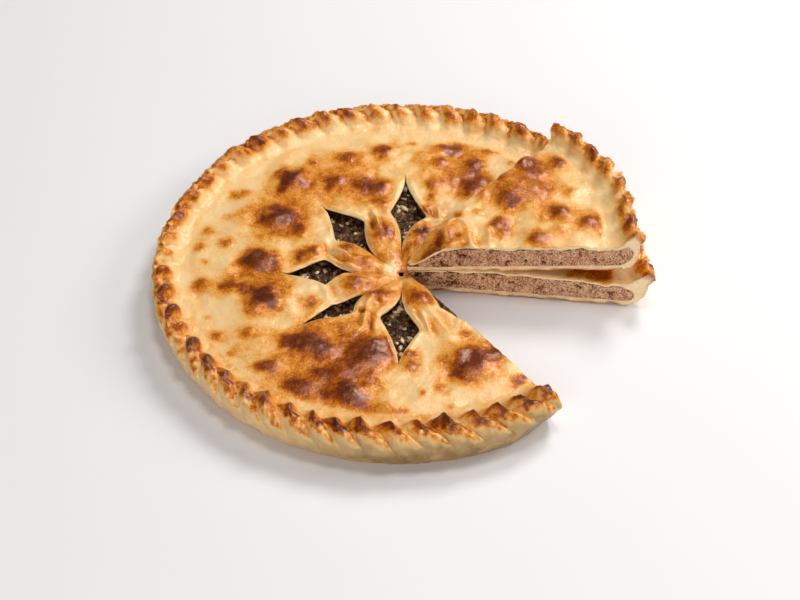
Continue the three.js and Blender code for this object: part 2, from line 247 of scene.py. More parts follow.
# Unevenness of the surfaces: height, size across, layers of detail and a shift that tells it from others
BASE_LUMPS = (0.8, 11.0, 3)
BASE_DENTS = (1.8, 13.0, 2, 5.0)
LID_WAVE = (1.5, 30.0, 2)
LID_RIPPLE = (0.9, 17.0, 2, 12.0)
LID_DENTS = (0.5, 14.0, 1, 50.0)
LID_GRAIN = (0.28, 5.0, 2)
LID_UNDERSIDE = (0.45, 9.0, 3)
LID_UNDERSIDE_SHIFT = 60.0
PETAL_CRUMPLE = (1.1, 9.0, 2, 8.0)
STAR_HOLE_RAGS = (0.3, 2.0)
KNIFE_WAVER = (1.0, 8.0, 2)
KNIFE_WAVER_SHIFT = 40.0
KNIFE_WAVER_RADII = (4.0, 30.0)
CRIMP_DRIFT = (0.28, 1.0)
RIM_RAGS = (0.4, 4.0, 2, 20.0)
RIM_LUMPS = (0.9, 9.0, 3, 40.0)
RIM_TOP_LUMPS = (0.5, 3.4, 2, 60.0)
BLISTER_BEND = (0.25, 16.0, 1)
BLISTER_SHIFTS = (0.0, 33.0)
CRUMB_GRAIN = (0.45, 1.6, 2)
CRUMB_SINK = 0.1
SLIT_SWELL = 0.5
MINCE_LUMPS = (1.4, 3.6, 3)
MINCE_WAVES = (1.2, 10.0, 1, 30.0)
MINCE_HIGHEST = 2.4
MINCE_GRAIN = (1.1, 2.2, 3)
MINCE_CLODS = (0.5, 6.0, 1, 50.0)
MINCE_GAPS = (1.0, 4.5, 2, 80.0)
MINCE_GAP_DEPTH = 2.2
MINCE_GAP_LIMITS = (0.42, 0.8)
MINCE_LOOSE = 0.35
MINCE_LOOSE_RADII = (28.0, 60.0)
# Unevenness of the browning, in the same way
BASE_MOTTLE = (0.2, 30.0, 3)
RIM_ROUGH = (1.0, 3.0, 2)
RIM_PATCHES = (1.0, 12.0, 3, 90.0)
RIM_FRECKLES = (0.18, 4.0, 2, 35.0)
LID_MOTTLE = (1.0, 22.0, 4, 70.0)
LID_FRECKLES = (1.0, 6.0, 3, 15.0)
PETAL_PATCHES = (1.0, 10.0, 3, 5.0)
BLISTER_WARP = (0.42, 11.0, 4)
GOLDEN_WOBBLE = (0.3, 16.0, 3, 25.0)
CRUMB_PATCHES = (0.2, 5.0, 2)
CRUMB_BASE_PATCHES = (0.3, 6.0, 2)

# How brown the dough is, from 0 for white to 1 for burnt, with painted shade added as browning in the rim's
# creases, the lid's sunken folds and low on the slits' sides; the front wall's painted shade is weighed here
# too. Where there are several numbers, the first stands alone and the rest are weights: of the rim's top,
# faces, tips, creases and cut ends; of how far a place is at the front or near; and of the uneven browning
# there.
BASE_BROWN = 0.45
UNDER_BROWN = 0.4
RIM_BAKED = (0.75, 0.25)
RIM_BROWN = (0.06, 0.2, 0.15, 0.4, 0.45, 0.2)
RIM_PATCH_BROWN = 0.2
LIP_BROWN = (0.28, -0.34)
INNER_BROWN = (0.03, 0.12, 0.12)
CREASE_SHADE_BOLDNESS = 1.15
# Painted shade on the front wall: weights of nearness to the viewer, of the rise up the wall and of uneven
# patches
WALL_SHADE_FAR = (0.2, 0.8)
WALL_SHADE_BY_ROW = (1.0, -0.35)
WALL_SHADE_PATCHES = (1.0, 0.35)
LID_BROWN = 0.09
LID_MOTTLE_BROWN = 0.1
LID_FRECKLE_BROWN = 0.12
FRECKLED_GOLDEN = (0.1, 0.4)
PETAL_BROWN = (0.3, 0.16)
PETAL_BROWN_DISTANCE = (0.8, 2.6)
PETAL_BROWN_RAGS = 0.8
PETAL_PATCH_LIMITS = (-0.2, 0.25)
BLISTER_BROWN = 0.92
# Raised folds are paled as stretched dough and as a painted highlight; sunken folds are browned as painted
# shade
FOLD_PALE = 0.6
FOLD_CREASE_SHADE = 0.2
BORDER_BROWN = (0.07, 0.12, 0.08)
BORDER_BOLDNESS = (0.8, 1.0)
SLIT_EDGE_PALE = 0.85
SLIT_EDGE_WIDTH = 0.9
SLIT_EDGE_WEAR = (0.6, 0.7)
SLIT_SIDE_BAKED = 0.7
# Browning low on the slits' side walls is painted shade
SLIT_SIDE_SHADE = 0.3
SLIT_SIDE_CUT = 0.4
CRUMB_SKIN = 0.4
CRUMB_BASE = 0.8

# Fineness of the meshes
RIM_COLUMN_STEP = 0.4
LID_COLUMN_SHARE = 2
BASE_COLUMN_SHARE = 8
INNER_COLUMN_SHARE = 16
RIM_ROWS = 48
RIM_ROW_STEP = 0.01
LID_ROW_STEP = 1.2
BASE_ROW_STEP = 4.0
BASE_LAST_RADIUS = PIE_RADIUS - RIM_INSET[0] - 6
CUT_RIBS = 8
WELD_DISTANCE = 2e-6
SHARP_ANGLE = math.radians(50)
LEAST_COLUMNS = 16
SLIT_RIBS = 5
FILLING_CORE = 1.5
FILLING_ROW_STEP = 0.68
FILLING_COLUMN_STEP = 0.75
FILLING_RIM_ROWS = 24
FILLING_LAYERS = 22

# Blisters and browned patches seen in the photograph: pixel across and down, width in pixels, rise in
# millimetres and how brown
PIE_BLISTERS = (
    (291, 179, 40, 2.6, 0.92), (283, 215, 44, 2.2, 0.85), (272, 218, 24, 1.0, 0.6),
    (300, 231, 26, 0.7, 0.6), (257, 259, 38, 2.2, 0.85), (334, 181, 30, 1.2, 0.6),
    (346, 156, 26, 1.4, 0.62), (385, 149, 30, 2.0, 0.8), (364, 184, 30, 0.8, 0.6),
    (380, 186, 26, 1.2, 0.72), (381, 202, 20, 0.8, 0.55), (312, 160, 18, 0.5, 0.45),
    (236, 192, 15, 0.5, 0.45), (246, 190, 12, 0.4, 0.4), (208, 230, 16, 0.4, 0.4),
    (197, 245, 18, 0.5, 0.42), (226, 242, 17, 0.8, 0.5), (204, 260, 9, 0.2, 0.3), (260, 237, 9, 0.2, 0.4),
    (227, 214, 10, 0.2, 0.25), (300, 254, 20, 0.7, 0.6), (313, 250, 20, 0.7, 0.55),
    (189, 286, 20, 0.8, 0.55), (202, 282, 18, 0.8, 0.55), (227, 285, 26, 1.2, 0.6),
    (241, 288, 18, 0.6, 0.5), (264, 296, 40, 2.4, 0.92), (253, 308, 22, 0.6, 0.45),
    (215, 334, 18, 0.6, 0.55), (248, 331, 18, 0.6, 0.42), (228, 351, 13, 0.4, 0.42),
    (208, 313, 9, 0.2, 0.25), (308, 301, 21, 0.7, 0.5), (290, 340, 26, 0.9, 0.6), (308, 342, 34, 1.4, 0.66),
    (322, 348, 24, 0.8, 0.6), (266, 364, 28, 1.4, 0.68), (293, 383, 26, 0.8, 0.55),
    (306, 384, 22, 0.8, 0.55), (366, 355, 46, 1.9, 0.74), (378, 345, 22, 0.6, 0.6),
    (345, 368, 34, 1.8, 0.3), (343, 391, 42, 2.0, 0.76), (360, 398, 26, 0.9, 0.65),
    (325, 372, 26, 0.6, 0.45), (400, 413, 20, 0.8, 0.65), (384, 404, 26, 2.0, 0.2),
    (372, 408, 16, 0.5, 0.4), (222, 376, 14, 0.3, 0.35), (232, 388, 14, 0.3, 0.3), (445, 145, 24, 1.0, 0.7),
    (457, 147, 22, 0.9, 0.65), (440, 161, 19, 0.7, 0.5), (475, 164, 28, 1.5, 0.75),
    (472, 186, 32, 1.6, 0.8), (481, 178, 20, 0.7, 0.55), (434, 184, 20, 0.8, 0.5),
    (430, 195, 15, 0.5, 0.45), (490, 149, 19, 0.7, 0.48), (511, 162, 12, 0.4, 0.42),
    (411, 142, 11, 0.4, 0.4), (455, 176, 26, 0.6, 0.35), (469, 362, 50, 2.4, 0.72),
    (483, 352, 26, 1.0, 0.5), (501, 351, 22, 0.6, 0.6), (521, 380, 25, 1.1, 0.72), (411, 352, 20, 0.5, 0.6),
    (413, 366, 16, 0.4, 0.5), (441, 387, 14, 0.4, 0.4), (423, 393, 10, 0.3, 0.4), (452, 404, 8, 0.2, 0.4),
    (466, 332, 15, 0.4, 0.42), (423, 299, 22, 0.4, 0.55), (386, 233, 20, 0.4, 0.55),
    (376, 222, 16, 0.2, 0.45), (355, 284, 22, 0.4, 0.45), (345, 247, 20, 0.3, 0.45),
    (374, 292, 20, 0.3, 0.5), (616, 268, 44, 0.5, 0.7), (585, 266, 40, 0.3, 0.55),
    # The dent at 361.5, 309.6 is browned fully, as painted shade for a small hole
    (361.5, 309.6, 8, -3.0, 1.0), (421, 232, 20, 0.3, 0.66), (427, 208, 22, 0.3, 0.55),
    (411, 262, 14, 0.2, 0.35), (410, 247, 14, 0.4, 0.35),
)
SLICE_BLISTERS = (
    # The wide bubble at 516, 185 is browned only lightly, as a painted sheen on it
    (519, 160, 30, 3.2, 0.66), (532, 167, 40, 1.8, 0.6), (516, 185, 64, 4.0, 0.14),
    (510, 199, 28, 0.6, 0.66), (542, 192, 36, 0.8, 0.3), (560, 160, 26, 1.4, 0.72),
    (570, 191, 16, 0.5, 0.35), (559, 211, 24, 1.6, 0.72), (500, 222, 30, 1.7, 0.64),
    (503, 232, 16, 1.0, 0.3), (592, 221, 32, 2.1, 0.62), (540, 238, 28, 1.2, 0.68),
    (542, 217, 10, 0.3, 0.3), (562, 230, 10, 0.3, 0.3), (447, 236, 12, 0.2, 0.4), (428, 250, 24, 0.3, 0.6),
    (440, 240, 18, 0.2, 0.45), (462, 246, 14, 0.2, 0.3), (492, 236, 14, 0.3, 0.35),
    (604, 232, 12, 0.4, 0.3), (585, 178, 14, 0.3, 0.25), (462, 213, 16, 1.2, 0.25),
    (482, 195, 20, 1.6, 0.35), (503, 178, 18, 1.2, 0.4), (478, 212, 14, 0.8, 0.3),
)
# Wide golden parts of the lid: pixel across and down, radius in pixels and how brown
PIE_GOLDEN = (
    (340, 183, 72, 0.34), (272, 216, 54, 0.34), (262, 275, 52, 0.34), (335, 352, 85, 0.46),
    (300, 378, 50, 0.36), (450, 165, 62, 0.34), (476, 360, 38, 0.34), (390, 270, 75, 0.36),
    (440, 320, 34, 0.26), (246, 352, 28, 0.24),
)
# The first golden part is kept low, as a painted sheen on the slice's wide bubble
SLICE_GOLDEN = ((530, 188, 60, 0.26), (440, 245, 50, 0.3), (560, 215, 40, 0.24))
# Folds in the dough where the petals twist: pixels of both ends, width and rise in millimetres
PIE_FOLDS = (
    (373, 211, 379, 228, 1.5, 2.4), (368, 213, 374, 230, 1.5, -2.2), (381, 222, 386, 234, 1.6, -1.0),
    (331, 248, 353, 259, 1.6, 2.4), (329, 253, 348, 263, 1.5, -2.0), (323, 244, 328, 258, 1.8, -1.8),
    (343, 262, 360, 270, 1.5, 1.6), (320, 280, 331, 301, 2.0, 2.0), (327, 279, 337, 297, 1.8, -2.0),
    (371, 300, 365, 309, 1.6, 2.4), (366, 313, 363, 326, 1.4, 2.2), (363, 326, 356, 332, 1.4, 1.6),
    (370, 313, 371, 332, 1.5, -2.0), (376, 296, 381, 305, 1.6, -1.4), (421, 313, 432, 331, 1.5, 2.6),
    (429, 319, 436, 332, 1.5, -2.6), (427, 311, 440, 318, 1.6, 2.0), (437, 318, 447, 328, 1.8, 1.6),
    (415, 309, 421, 318, 1.6, -1.6), (438, 206, 440, 217, 1.3, 2.4), (440, 217, 431, 225, 1.3, 2.2),
    (433, 207, 435, 216, 1.6, -2.2), (446, 211, 449, 219, 1.8, -1.4), (424, 226, 421, 233, 1.8, -1.6),
)
SLICE_FOLDS = (
    (446, 226, 456, 221, 1.4, 2.2), (456, 221, 468, 226, 1.4, 2.2), (453, 238, 462, 234, 1.5, -3.4),
    (448, 246, 462, 243, 1.8, 1.8), (473, 234, 482, 245, 2.8, -3.0), (469, 230, 471, 248, 1.5, 2.4),
    (488, 226, 490, 244, 1.8, 2.2), (444, 230, 447, 242, 1.6, 1.8), (424, 252, 434, 252, 1.6, -2.0),
    (437, 236, 440, 250, 1.6, -0.8), (450, 214, 462, 216, 1.8, -2.4), (462, 214, 470, 206, 1.6, 1.6),
)

NOISE_SEED = 11
NOISE_CELLS = 256
NOISE_GAIN = 1.6
NOISE_LAYER_SHIFT = 17.3
CRIMP_SEED = 7

# Bits of onion in the star's openings and in the cut sides of the filling
BITS_SEED = 23
OPENING_BITS = 120
BIT_SIZES = (0.4, 1.8)
CUT_BITS = 22
CUT_BIT_SIZES = (0.4, 0.9)
CUT_BIT_HEIGHTS = (BASE_THICKNESS + 2, LID_HEIGHT - LID_THICKNESS - 3)
CUT_BIT_RADII = (24.0, 130.0)
BIT_INNER_MARGIN = 6.0
BIT_OUTER_MARGIN = 7.0
BIT_SPREAD = 0.85
BIT_SHAPE = (1.5, 0.9, 0.45)
BIT_VARIATION = (0.6, 1.4)
BIT_BEND = 0.45
BIT_LIFT = 0.2

# Colours as they show on a screen, at places from 0 to 1: the skin by how brown it is, the painted shade on
# the front wall, the crumb of the cut dough, the mince where it is cut and where it lies open, and the onion
SKIN_COLOURS = (
    (0.0, (244, 212, 158)), (0.15, (240, 192, 124)), (0.3, (228, 152, 54)), (0.45, (196, 110, 12)),
    (0.62, (146, 66, 0)), (0.8, (100, 38, 0)), (1.0, (62, 21, 0)),
)
WALL_SHADE_COLOURS = ((0.3, (124, 92, 42)), (0.7, (156, 124, 68)))
CRUMB_COLOURS = ((0.1, (222, 162, 100)), (0.4, (252, 212, 156)), (0.9, (255, 234, 194)))
MINCE_COLOURS = (
    (0.12, (66, 32, 16)), (0.4, (172, 112, 80)), (0.65, (214, 156, 118)), (1.0, (244, 206, 168)),
)
MOIST_COLOURS = (
    (0.36, (14, 6, 1)), (0.48, (64, 36, 16)), (0.62, (130, 90, 52)), (0.76, (220, 184, 132)),
)
ONION_COLOURS = ((190, 146, 92), (248, 228, 188))
GROUND_COLOUR = (236, 235, 236)
# Textures, sized in metres, some with their detail and roughness, and the heights they raise
SKIN_SPECKLE = (0.0011, 3.0, 0.75)
SKIN_BLOTCH = (0.007, 3.0, 0.6)
SKIN_MOTTLE = (0.003, 3.0, 0.6)
SKIN_GRAIN_SIZE = 0.0009
SKIN_PEBBLE_SIZE = 0.0025
CRUMB_PORE_SIZE = 0.0011
MINCE_SPECKLE = (0.001, 3.0, 0.7)
MINCE_GRAIN_SIZE = 0.0012
MINCE_BLOTCH_SIZE = 0.006
MOIST_LUMPS = (0.0035, 3.0, 0.6)
ONION_SPOT_SIZE = 0.0012
SKIN_BUMP = 0.00022
MINCE_BUMP = 0.0006
MINCE_TONE = 0.66
MINCE_GAP_SHADE = 0.45

# Lights: name, place and size in metres, watts and colour
LIGHTS = (
    ("window", (0.78, 1.08, 1.45), 0.65, 20, (1.0, 0.98, 0.96)),
    ("side", (1.5, 0.3, 1.0), 0.8, 12, (1.0, 0.98, 0.96)),
    ("front", (-0.3, -1.5, 0.8), 1.6, 13, (1.0, 0.98, 0.95)),
    ("ceiling", (0.2, 0.1, 2.2), 0.6, 11, (1.0, 1.0, 1.0)),
)
WORLD_LIGHT = 0.14
GROUND_HALF = 4.0
GROUND_DROP = 0.0002


def smooth(start, end, value):
    share = np.clip((value - start) / (end - start), 0, 1)
    return share * share * (3 - 2 * share)


def band(limits, value, fading=None):
    """Rises from 0 to 1 between the first two limits and falls between the last two. The falling can follow
    another value."""
    if fading is None:
        fading = value
    return smooth(*limits[:2], value) * (1 - smooth(*limits[2:], fading))


def weigh(weights, *fields):
    """Sum of fields by their weights, after a first weight that stands alone."""
    return weights[0] + sum(weight * field for weight, field in zip(weights[1:], fields))


def bump(distance, width):
    return np.exp(-((distance / width) ** 2))


def spline(values, at):
    """Smooth curve through evenly spaced values, read at places counted in values."""
    values = np.asarray(values, float)
    padded = np.concatenate([[2 * values[0] - values[1]], values, [2 * values[-1] - values[-2]]])
    index = np.clip(np.floor(at).astype(int), 0, len(values) - 2)
    share = at - index
    before, here, there, after = (padded[index + step] for step in range(4))
    cubic = 3 * (here - there) + after - before
    square = 2 * before - 5 * here + 4 * there - after
    return here + 0.5 * share * (there - before + share * (square + share * cubic))


def polar(angle, radius, height):
    """Points from angles in degrees, distances from the middle and heights."""
    turn = np.radians(angle)
    parts = np.broadcast_arrays(radius * np.cos(turn), radius * np.sin(turn), height)
    return np.stack(parts, axis=-1)


class Noise:
    """Repeatable smooth unevenness of a given height either way, with features of a given size."""

    def __init__(self, seed):
        random = np.random.default_rng(seed)
        self.order = random.permutation(NOISE_CELLS)
        slopes = random.normal(size=(NOISE_CELLS, 3))
        self.slopes = slopes / np.linalg.norm(slopes, axis=1, keepdims=True)

    def single(self, points):
        cell = np.floor(points).astype(int)
        part = points - cell
        fade = part ** 3 * (part * (part * 6 - 15) + 10)
        total = np.zeros(len(points))
        for corner in np.ndindex(2, 2, 2):
            x, y, z = ((cell + corner) % NOISE_CELLS).T
            index = self.order[(self.order[(self.order[x] + y) % NOISE_CELLS] + z) % NOISE_CELLS]
            weight = np.prod(np.where(np.array(corner) == 1, fade, 1 - fade), axis=1)
            total += weight * np.einsum("ij,ij->i", self.slopes[index], part - corner)
        return total * NOISE_GAIN

    def __call__(self, points, height, size, layers=1, shift=0.0):
        flat = (np.reshape(points, (-1, 3)) + shift) / size
        total = np.zeros(len(flat))
        for layer in range(layers):
            total += self.single(flat * 2 ** layer + NOISE_LAYER_SHIFT * layer) / 2 ** layer
        return height * total.reshape(np.shape(points)[:-1])


noise = Noise(NOISE_SEED)
crimp_random = np.random.default_rng(CRIMP_SEED)
crimp_strength = 1 + CRIMP_VARIATION * (crimp_random.random(CRIMP_COUNT) - 0.5)
crimp_brown = CRIMP_BROWN_VARIATION * (crimp_random.random(CRIMP_COUNT) - 0.5)


# Where things seen in the photograph lie on the pie

def pixel_on_height(across, down, height):
    """The point at a height that a pixel of the photograph shows."""
    right = across - PICTURE_WIDTH / 2
    up = PICTURE_HEIGHT / 2 - down
    sine = math.sin(CAMERA_ELEVATION)
    cosine = math.cos(CAMERA_ELEVATION)
    reach = up * (CAMERA_DISTANCE - height * sine) - FOCAL_PIXELS * height * cosine
    y = reach / (FOCAL_PIXELS * sine - up * cosine)
    x = right * (CAMERA_DISTANCE + y * cosine - height * sine) / FOCAL_PIXELS
    return np.array([x + CAMERA_TARGET[0], y + CAMERA_TARGET[1]])


def pixel_on_lid(across, down):
    return pixel_on_height(across, down, LID_SEEN_HEIGHT)


def turn(axis, angle):
    return np.array(Matrix.Rotation(math.radians(angle), 3, axis))


SLICE_TURN = turn("Z", SLICE_HEADING) @ turn("Y", -SLICE_TILT) @ turn("X", SLICE_ROLL)


def pixel_on_slice(across, down):
    """The point of the uncut pie that a pixel on the laid-down slice shows."""
    height = SLICE_PLACE[2] + LID_HEIGHT
    for _ in range(PIXEL_ROUNDS):
        x, y = pixel_on_height(across, down, height)
        along, aside, above = SLICE_TURN.T @ (np.array([x, y, height]) - SLICE_PLACE)
        height += LID_SEEN_HEIGHT - above
    aside = aside / SLICE_SPREAD
    middle = math.radians(SLICE_MIDDLE)
    return np.array([along * math.cos(middle) - aside * math.sin(middle),
                     along * math.sin(middle) + aside * math.cos(middle)])


class Portion:
    """A part of the pie between two knife cuts, with what was seen on it."""

    def __init__(self, start, end, around, hollow, on_lid, blisters, golden, folds,
                 undercut=0.0, end_lean=0.0, star_shift=0.0, tip_sag=0.0, pressed=None):
        self.start = start
        self.end = end
        self.around = np.array(around).T
        self.hollow = np.array(hollow).T
        self.undercut = undercut
        self.end_lean = end_lean
        self.star_shift = star_shift
        self.tip_sag = tip_sag
        self.pressed = pressed
        self.blisters = [(on_lid(x, y), width * PIXEL_SIZE / 2, *rest) for x, y, width, *rest in blisters]
        self.golden = [(on_lid(x, y), radius * PIXEL_SIZE, brown) for x, y, radius, brown in golden]
        self.folds = [(on_lid(x, y), on_lid(to_x, to_y), *rest) for x, y, to_x, to_y, *rest in folds]

    def radii(self, angle):
        """Radius of the wall, the crimps' tips, the valley and the edge of the lid."""
        wall, tip, valley = (np.interp(angle, self.around[0], values) for values in self.around[1:4])
        return wall, tip, valley, tip + RIM_TO_VALLEY[-1] * (valley - tip)

    def boldness(self, angle):
        return np.interp(angle, self.around[0], self.around[4])

    def away_from_cuts(self, angle, distance):
        return smooth(0, distance, angle - self.start) * smooth(0, distance, self.end - angle)

    def lid_radius(self, nominal, angle):
        """Spreads the lid's rows to where its edge is at each angle."""
        edge = self.radii(angle)[3]
        share = (nominal - LID_STRETCH_RADIUS) / (LID_EDGE_RADIUS - LID_STRETCH_RADIUS)
        stretched = LID_STRETCH_RADIUS + share * (edge - LID_STRETCH_RADIUS)
        return np.where(nominal > LID_STRETCH_RADIUS, stretched, nominal)

    def press(self, angle):
        """How far the slice that lies on this part presses it down, from 0 to 1."""
        if self.pressed is None:
            return 0.0
        start, end = self.pressed
        return band((start, start + PRESS_FADE, end - PRESS_FADE, end), angle)

    def flare(self, angle):
        """How far the rim is pulled out and up beside the first cut, from 0 to 1."""
        return 1 - smooth(0, CUT_FLARE_REACH, angle - self.start)

    def sag(self, nominal):
        return self.tip_sag * (1 - smooth(*SLICE_TIP_SAG_RADII, nominal))

    def shift_star(self, points, angle, nominal):
        """Moves the middle of the star a little off the middle of the pie."""
        share = (1 - smooth(0, STAR_SHIFT_RADIUS, nominal)) * self.away_from_cuts(angle, STAR_SHIFT_FADE)
        points[..., 1] -= self.star_shift * share
        return points


PIE = Portion(
    FIRST_CUT, PIE_SECOND_CUT, PIE_ROUND, PIE_HOLLOW, pixel_on_lid, PIE_BLISTERS, PIE_GOLDEN, PIE_FOLDS,
    undercut=PIE_UNDERCUT, star_shift=STAR_SHIFT, pressed=PRESSED_ANGLES,
)
SLICE = Portion(
    SECOND_CUT, FIRST_CUT + 360, SLICE_ROUND, SLICE_HOLLOW,
    pixel_on_slice, SLICE_BLISTERS, SLICE_GOLDEN, SLICE_FOLDS,
    undercut=SLICE_UNDERCUT, end_lean=SLICE_END_LEAN, tip_sag=SLICE_TIP_SAG,
)


# The dough

def base_top(points):
    """Height of the base's upper side, uneven where the filling was pressed on it."""
    return BASE_THICKNESS + noise(points * (1.0, 1.0, 0.0), *BASE_LUMPS)


def lid_underside(portion, angle, nominal):
    """Height of the lid's lower side, uneven like the filling below it."""
    flat = polar(angle, nominal, LID_UNDERSIDE_SHIFT)
    return lid_level(portion, angle, nominal) - LID_THICKNESS - noise(flat, *LID_UNDERSIDE)


def lid_level(portion, angle, nominal):
    """Height of the lid with its waves, before blisters and folds."""
    flat = polar(angle, portion.lid_radius(nominal, angle), LID_HEIGHT)
    wave = noise(flat, *LID_WAVE) + noise(flat, *LID_RIPPLE)
    return lid_height(nominal) + wave * band(LID_LOOSE_RADII, nominal) - portion.sag(nominal)


def lid_height(radius):
    star_sink = STAR_SINK * (1 - smooth(0, STAR_SINK_RADIUS, radius))
    edge_sink = LID_EDGE_SINK * smooth(LID_EDGE_SINK_START, LID_EDGE_RADIUS, radius)
    return LID_HEIGHT - star_sink - edge_sink


def slit_side(slit, side, radius):
    """Distance of one side of a slit from its line, and the line's angle."""
    tip_angle, tip, meeting_angle, meeting, clockwise, counterclockwise = slit
    corner, width = clockwise if side < 0 else counterclockwise
    outer = np.maximum((tip - radius) / (tip - corner), TINY) ** SLIT_OUTER_CURVE
    inner = np.maximum((radius - meeting) / (corner - meeting), TINY) ** SLIT_INNER_CURVE
    power = SLIT_CORNER_ROUND
    rounded = ((outer ** -power + inner ** -power) / 2) ** (-1 / power)
    opened = (radius < tip) & (radius > meeting)
    angle = tip_angle + (meeting_angle - tip_angle) * (1 - smooth(meeting, corner, radius))
    return np.where(opened, width * rounded, 0.0), angle


class Edge:
    """One side of a sector of dough: a knife cut, a side of a slit, or a cut along a slit."""

    def __init__(self, cut=None, slit=None, side=0):
        self.cut = cut
        self.slit = slit
        self.side = side

    def angles(self, rows):
        knife = None
        if self.cut is not None:
            waver = noise(polar(self.cut, rows.radius, rows.layer * KNIFE_WAVER_SHIFT), *KNIFE_WAVER)
            waver = waver * smooth(*KNIFE_WAVER_RADII, rows.radius)
            knife = self.cut + np.degrees(waver / np.maximum(rows.radius, KNIFE_WAVER_RADII[0]))
        if self.slit is None:
            return knife
        width, angle = slit_side(self.slit, self.side, rows.lid_radius)
        opened = angle + self.side * np.degrees(width / np.maximum(rows.lid_radius, 1))
        if self.cut is None:
            return opened
        nearer = np.minimum if self.side < 0 else np.maximum
        return np.where(width > 0, nearer(knife, opened), knife)

    def openness(self, rows):
        """How far the dough's edge lies bare at each row, from 0 to 1."""
        if self.slit is None:
            return np.full(len(rows.radius), CUT_OPENNESS)
        return smooth(0.0, SLIT_OPEN_WIDTH, slit_side(self.slit, self.side, rows.lid_radius)[0])

    def open_rows(self, rows):
        if self.cut is not None:
            return np.ones(len(rows.radius), bool)
        return slit_side(self.slit, self.side, rows.lid_radius)[0] > 0


class Rows:
    """The rows of the dough's skin: under the base, up the rim and over the lid to the middle."""

    def __init__(self):
        self.base = np.arange(FILLING_CORE, BASE_LAST_RADIUS, BASE_ROW_STEP)
        self.rim = np.linspace(0, RIM_LAST, RIM_ROWS)
        inward = np.arange(LID_EDGE_RADIUS - LID_ROW_STEP, STAR_HOLE_RADII[0], -LID_ROW_STEP)
        self.lid = np.concatenate([inward, [STAR_HOLE_RADIUS]])
        self.rim_start = len(self.base)
        self.lid_start = self.rim_start + RIM_ROWS
        rim_radius = np.full(RIM_ROWS, PIE_RADIUS)
        self.radius = np.concatenate([self.base, rim_radius, self.lid])
        self.lid_radius = np.concatenate([np.full(self.lid_start, PIE_RADIUS), self.lid])
        up_rim = np.linspace(0, 1, RIM_ROWS)
        self.layer = np.concatenate([np.zeros(self.rim_start), up_rim, np.ones(len(self.lid))])


rows = Rows()


def crimp_lobe(place, lean, point, tooth):
    """Height of one crimp, from fold to fold, between 0 and 1."""
    leaned = place ** lean
    rounded = np.sin(math.pi * leaned) ** point
    pointed = (1 - np.abs(2 * leaned - 1)) ** TOOTH_SHARPNESS
    return rounded + tooth * (pointed - rounded)


def rim_place(portion, angle, row):
    """Radius and height of the rim before it is crimped."""
    wall, tip, valley, _ = portion.radii(angle)
    flared = 1 - CUT_END_FLARE * portion.flare(angle)
    inset = spline(RIM_INSET, row) + spline(RIM_TO_TIP, row) * (wall - tip) * flared
    inset = inset + spline(RIM_TO_VALLEY, row) * (tip - valley)
    cut_end = portion.undercut * (1 - portion.away_from_cuts(angle, CUT_END_REACH))
    inset = inset + cut_end * (1 - smooth(*UNDERCUT_ROWS, row))
    return wall - inset, spline(RIM_HEIGHT, row)


def rim_facing(portion, angle, row):
    """How far the rim faces outward and upward before it is crimped."""
    next_radius, next_height = rim_place(portion, angle, row + RIM_ROW_STEP)
    last_radius, last_height = rim_place(portion, angle, row - RIM_ROW_STEP)
    length = np.hypot(next_radius - last_radius, next_height - last_height)
    return (next_height - last_height) / length, (last_radius - next_radius) / length


def crimp_at(angle):
    """Number of the crimp at an angle, and the place in it from fold to fold, between 0 and 1."""
    drift = noise(polar(angle, CRIMP_DRIFT_RADIUS, 0.0), *CRIMP_DRIFT)
    ahead = np.interp(angle, *zip(*CRIMP_AHEAD))
    phase = (angle - CRIMP_START) / CRIMP_PITCH + drift + ahead
    number = np.floor(phase).astype(int)
    return number % CRIMP_COUNT, phase - number


